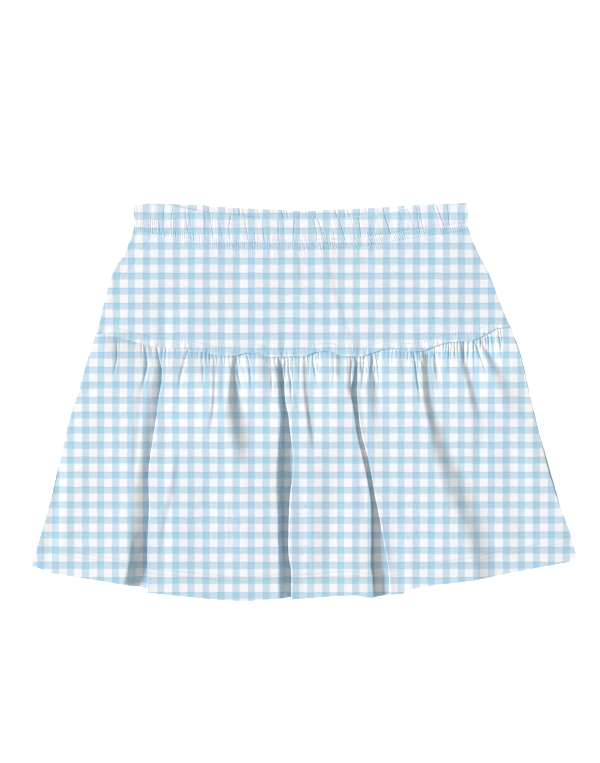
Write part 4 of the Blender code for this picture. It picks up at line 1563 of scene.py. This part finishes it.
# %% The four panels of the shorts
LEG = table(
    "down inner outer",
    (24, 0.15, 127.0),
    (60, 0.15, 137.0),
    (110, 0.15, 145.0),
    (165, 0.15, 150.0),
    (200, 0.15, 152.5),
    (210, 5.0, 153.0),
    (240, 12.0, 155.5),
    (281, 20.0, 159.0),
)
LEG_COLUMNS, LEG_LINES = 80, 70
LEG_TURN_UP = 18.0    # from the leg's hem up to its stitching
SETTLED = {"front": 2.5, "back": 1.5}    # height of each layer at its outer edge, pressed together
SETTLE_WIDTH = 25.0                      # how far in from that edge each layer is at its own height


def leg_row(way, layer, settled, seed):
    outward = np.linspace(0, 1, LEG_COLUMNS)[::way]
    waist = way * blend(LEG["inner"][0], LEG["outer"][0], outward)
    top = band_foot(waist) + 2 * GAP

    def row(fall):
        down = blend(top, LEG_HEM, fall)
        x = way * blend(curve(LEG, "down", "inner", down), curve(LEG, "down", "outer", down), outward)
        from_hem = LEG_HEM - down
        soft = 0.10 * uneven(x + 0.4 * down, 14, seed) * ease(3, 12, from_hem)
        stitched = -0.12 * (1 - ease(0.3, 1.5, abs(from_hem - LEG_TURN_UP)))
        from_outer = curve(LEG, "down", "outer", down) - abs(x)
        height = blend(settled, layer, ease(0, SETTLE_WIDTH, from_outer))
        return x, down, height + BACK_RIDGE * fold_lift(x, down) + soft + stitched, x, down

    return row


for place, layer in (("front", SHORTS_FRONT_LAYER), ("back", SHORTS_BACK_LAYER)):
    for hand, way in (("left", -1), ("right", 1)):
        node = f"shorts_{place}_{hand}"
        leg = lay_cloth(f"{node}_cloth", leg_row(way, layer, SETTLED[place], 70 + way),
                        np.linspace(0, 1, LEG_LINES), shorts_jersey)
        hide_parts(node)

# %% [markdown]
# ## Stitches
#
# Knits are sewn with two needles side by side, so a seam shows two rows of short stitches. One stitch
# is modelled once: a small round bar whose ends dive into the cloth. Copies of it are laid end to end
# along a row of the sheet that they hold together, each turned to lie along the cloth.

# %% One stitch
STITCH, STITCH_GAP = 1.3, 1.0            # length of a stitch and the gap to the next
NEEDLES = 3.6                            # from one row of the hem's stitches to the other
THREAD_LIFT = 0.05                       # from the face of the cloth to the middle of a stitch
NEXT_ROW = 0.002                         # share of a sheet's length from one row to a row beside it
UNSEWN = 4                               # length at both ends of a row that has no stitches

bpy.ops.object.select_all(action="DESELECT")
bpy.ops.mesh.primitive_uv_sphere_add(segments=6, ring_count=5, radius=THREAD * MM / 2)
one_stitch = bpy.context.object
bpy.ops.object.mode_set(mode="EDIT")
bpy.ops.mesh.select_all(action="SELECT")
bpy.ops.transform.resize(value=(STITCH / THREAD, 1.0, 1.0))
bpy.ops.object.mode_set(mode="OBJECT")
stitch_points = np.array([tuple(v.co) for v in one_stitch.data.vertices])
stitch_faces = [tuple(face.vertices) for face in one_stitch.data.polygons]
bpy.data.objects.remove(one_stitch)
print("one stitch has", len(stitch_faces), "faces")


# %% Laying stitches along a row of cloth
def stitched_line(row, fall, up):
    """Middles, directions and normals of the stitches along one row. `up` is 1 for the upper face."""
    here, next_row = (point(*row(share)[:3]) for share in (fall, fall + NEXT_ROW))
    walked = np.append(0, np.cumsum(np.linalg.norm(np.diff(here, axis=0), axis=1)))
    at = np.arange(UNSEWN, walked[-1] / MM - UNSEWN, STITCH + STITCH_GAP) * MM
    middles = np.stack([np.interp(at, walked, here[:, axis]) for axis in range(3)], axis=-1)
    ahead = np.stack([np.interp(at + MM, walked, here[:, axis]) for axis in range(3)], axis=-1)
    lower = np.stack([np.interp(at, walked, next_row[:, axis]) for axis in range(3)], axis=-1)
    along = ahead - middles
    along /= np.linalg.norm(along, axis=1)[:, None]
    normals = np.cross(lower - middles, along)
    normals *= up / np.linalg.norm(normals, axis=1)[:, None]
    return middles, along, normals


def sew(name, lines):
    """One piece with a stitch at every place in the lines."""
    corners, faces = [], []
    for middles, along, normals in lines:
        for middle, forward, up in zip(middles, along, normals):
            turned = np.stack([forward, np.cross(up, forward), up])
            lifted = middle + up * (CLOTH / 2 + THREAD_LIFT) * MM
            first = len(corners) * len(stitch_points)
            corners.append(stitch_points @ turned + lifted)
            faces += [tuple(first + corner for corner in face) for face in stitch_faces]
    mesh = bpy.data.meshes.new(name)
    mesh.from_pydata(np.concatenate(corners).tolist(), [], faces)
    thread = bpy.data.objects.new(name, mesh)
    bpy.context.scene.collection.objects.link(thread)
    bpy.ops.object.select_all(action="DESELECT")
    thread.select_set(True)
    bpy.context.view_layer.objects.active = thread
    mesh.materials.append(sewing_thread)
    print(f"{name}: {len(corners)} stitches")
    return finish_mesh(thread)


def stitched_rows(row, length, distances, up):
    """Lines of stitches at distances in mm from the foot of a sheet that is `length` mm long."""
    return [stitched_line(row, 1 - distance / length, up) for distance in distances]


HEM_ROWS = HEM_FOLD - NEEDLES / 2, HEM_FOLD + NEEDLES / 2
YOKE_LENGTH, TIER_LENGTH = 88, 203       # of the sheets, from top to foot
yoke_lines = stitched_rows(front_yoke_row, YOKE_LENGTH, [TOPSTITCH], 1)
yoke_stitches = sew("topstitch_yoke_front", yoke_lines)
hem_lines = stitched_rows(front_tier_row, TIER_LENGTH, HEM_ROWS, 1)
hem_stitches = sew("hemstitch_tier_front", hem_lines)
back_hem_lines = stitched_rows(back_tier_row, TIER_LENGTH, HEM_ROWS, -1)
back_hem_stitches = sew("hemstitch_tier_back", back_hem_lines)
back_yoke_lines = stitched_rows(back_yoke_row, YOKE_LENGTH, [TOPSTITCH], -1)
back_yoke_stitches = sew("topstitch_yoke_back", back_yoke_lines)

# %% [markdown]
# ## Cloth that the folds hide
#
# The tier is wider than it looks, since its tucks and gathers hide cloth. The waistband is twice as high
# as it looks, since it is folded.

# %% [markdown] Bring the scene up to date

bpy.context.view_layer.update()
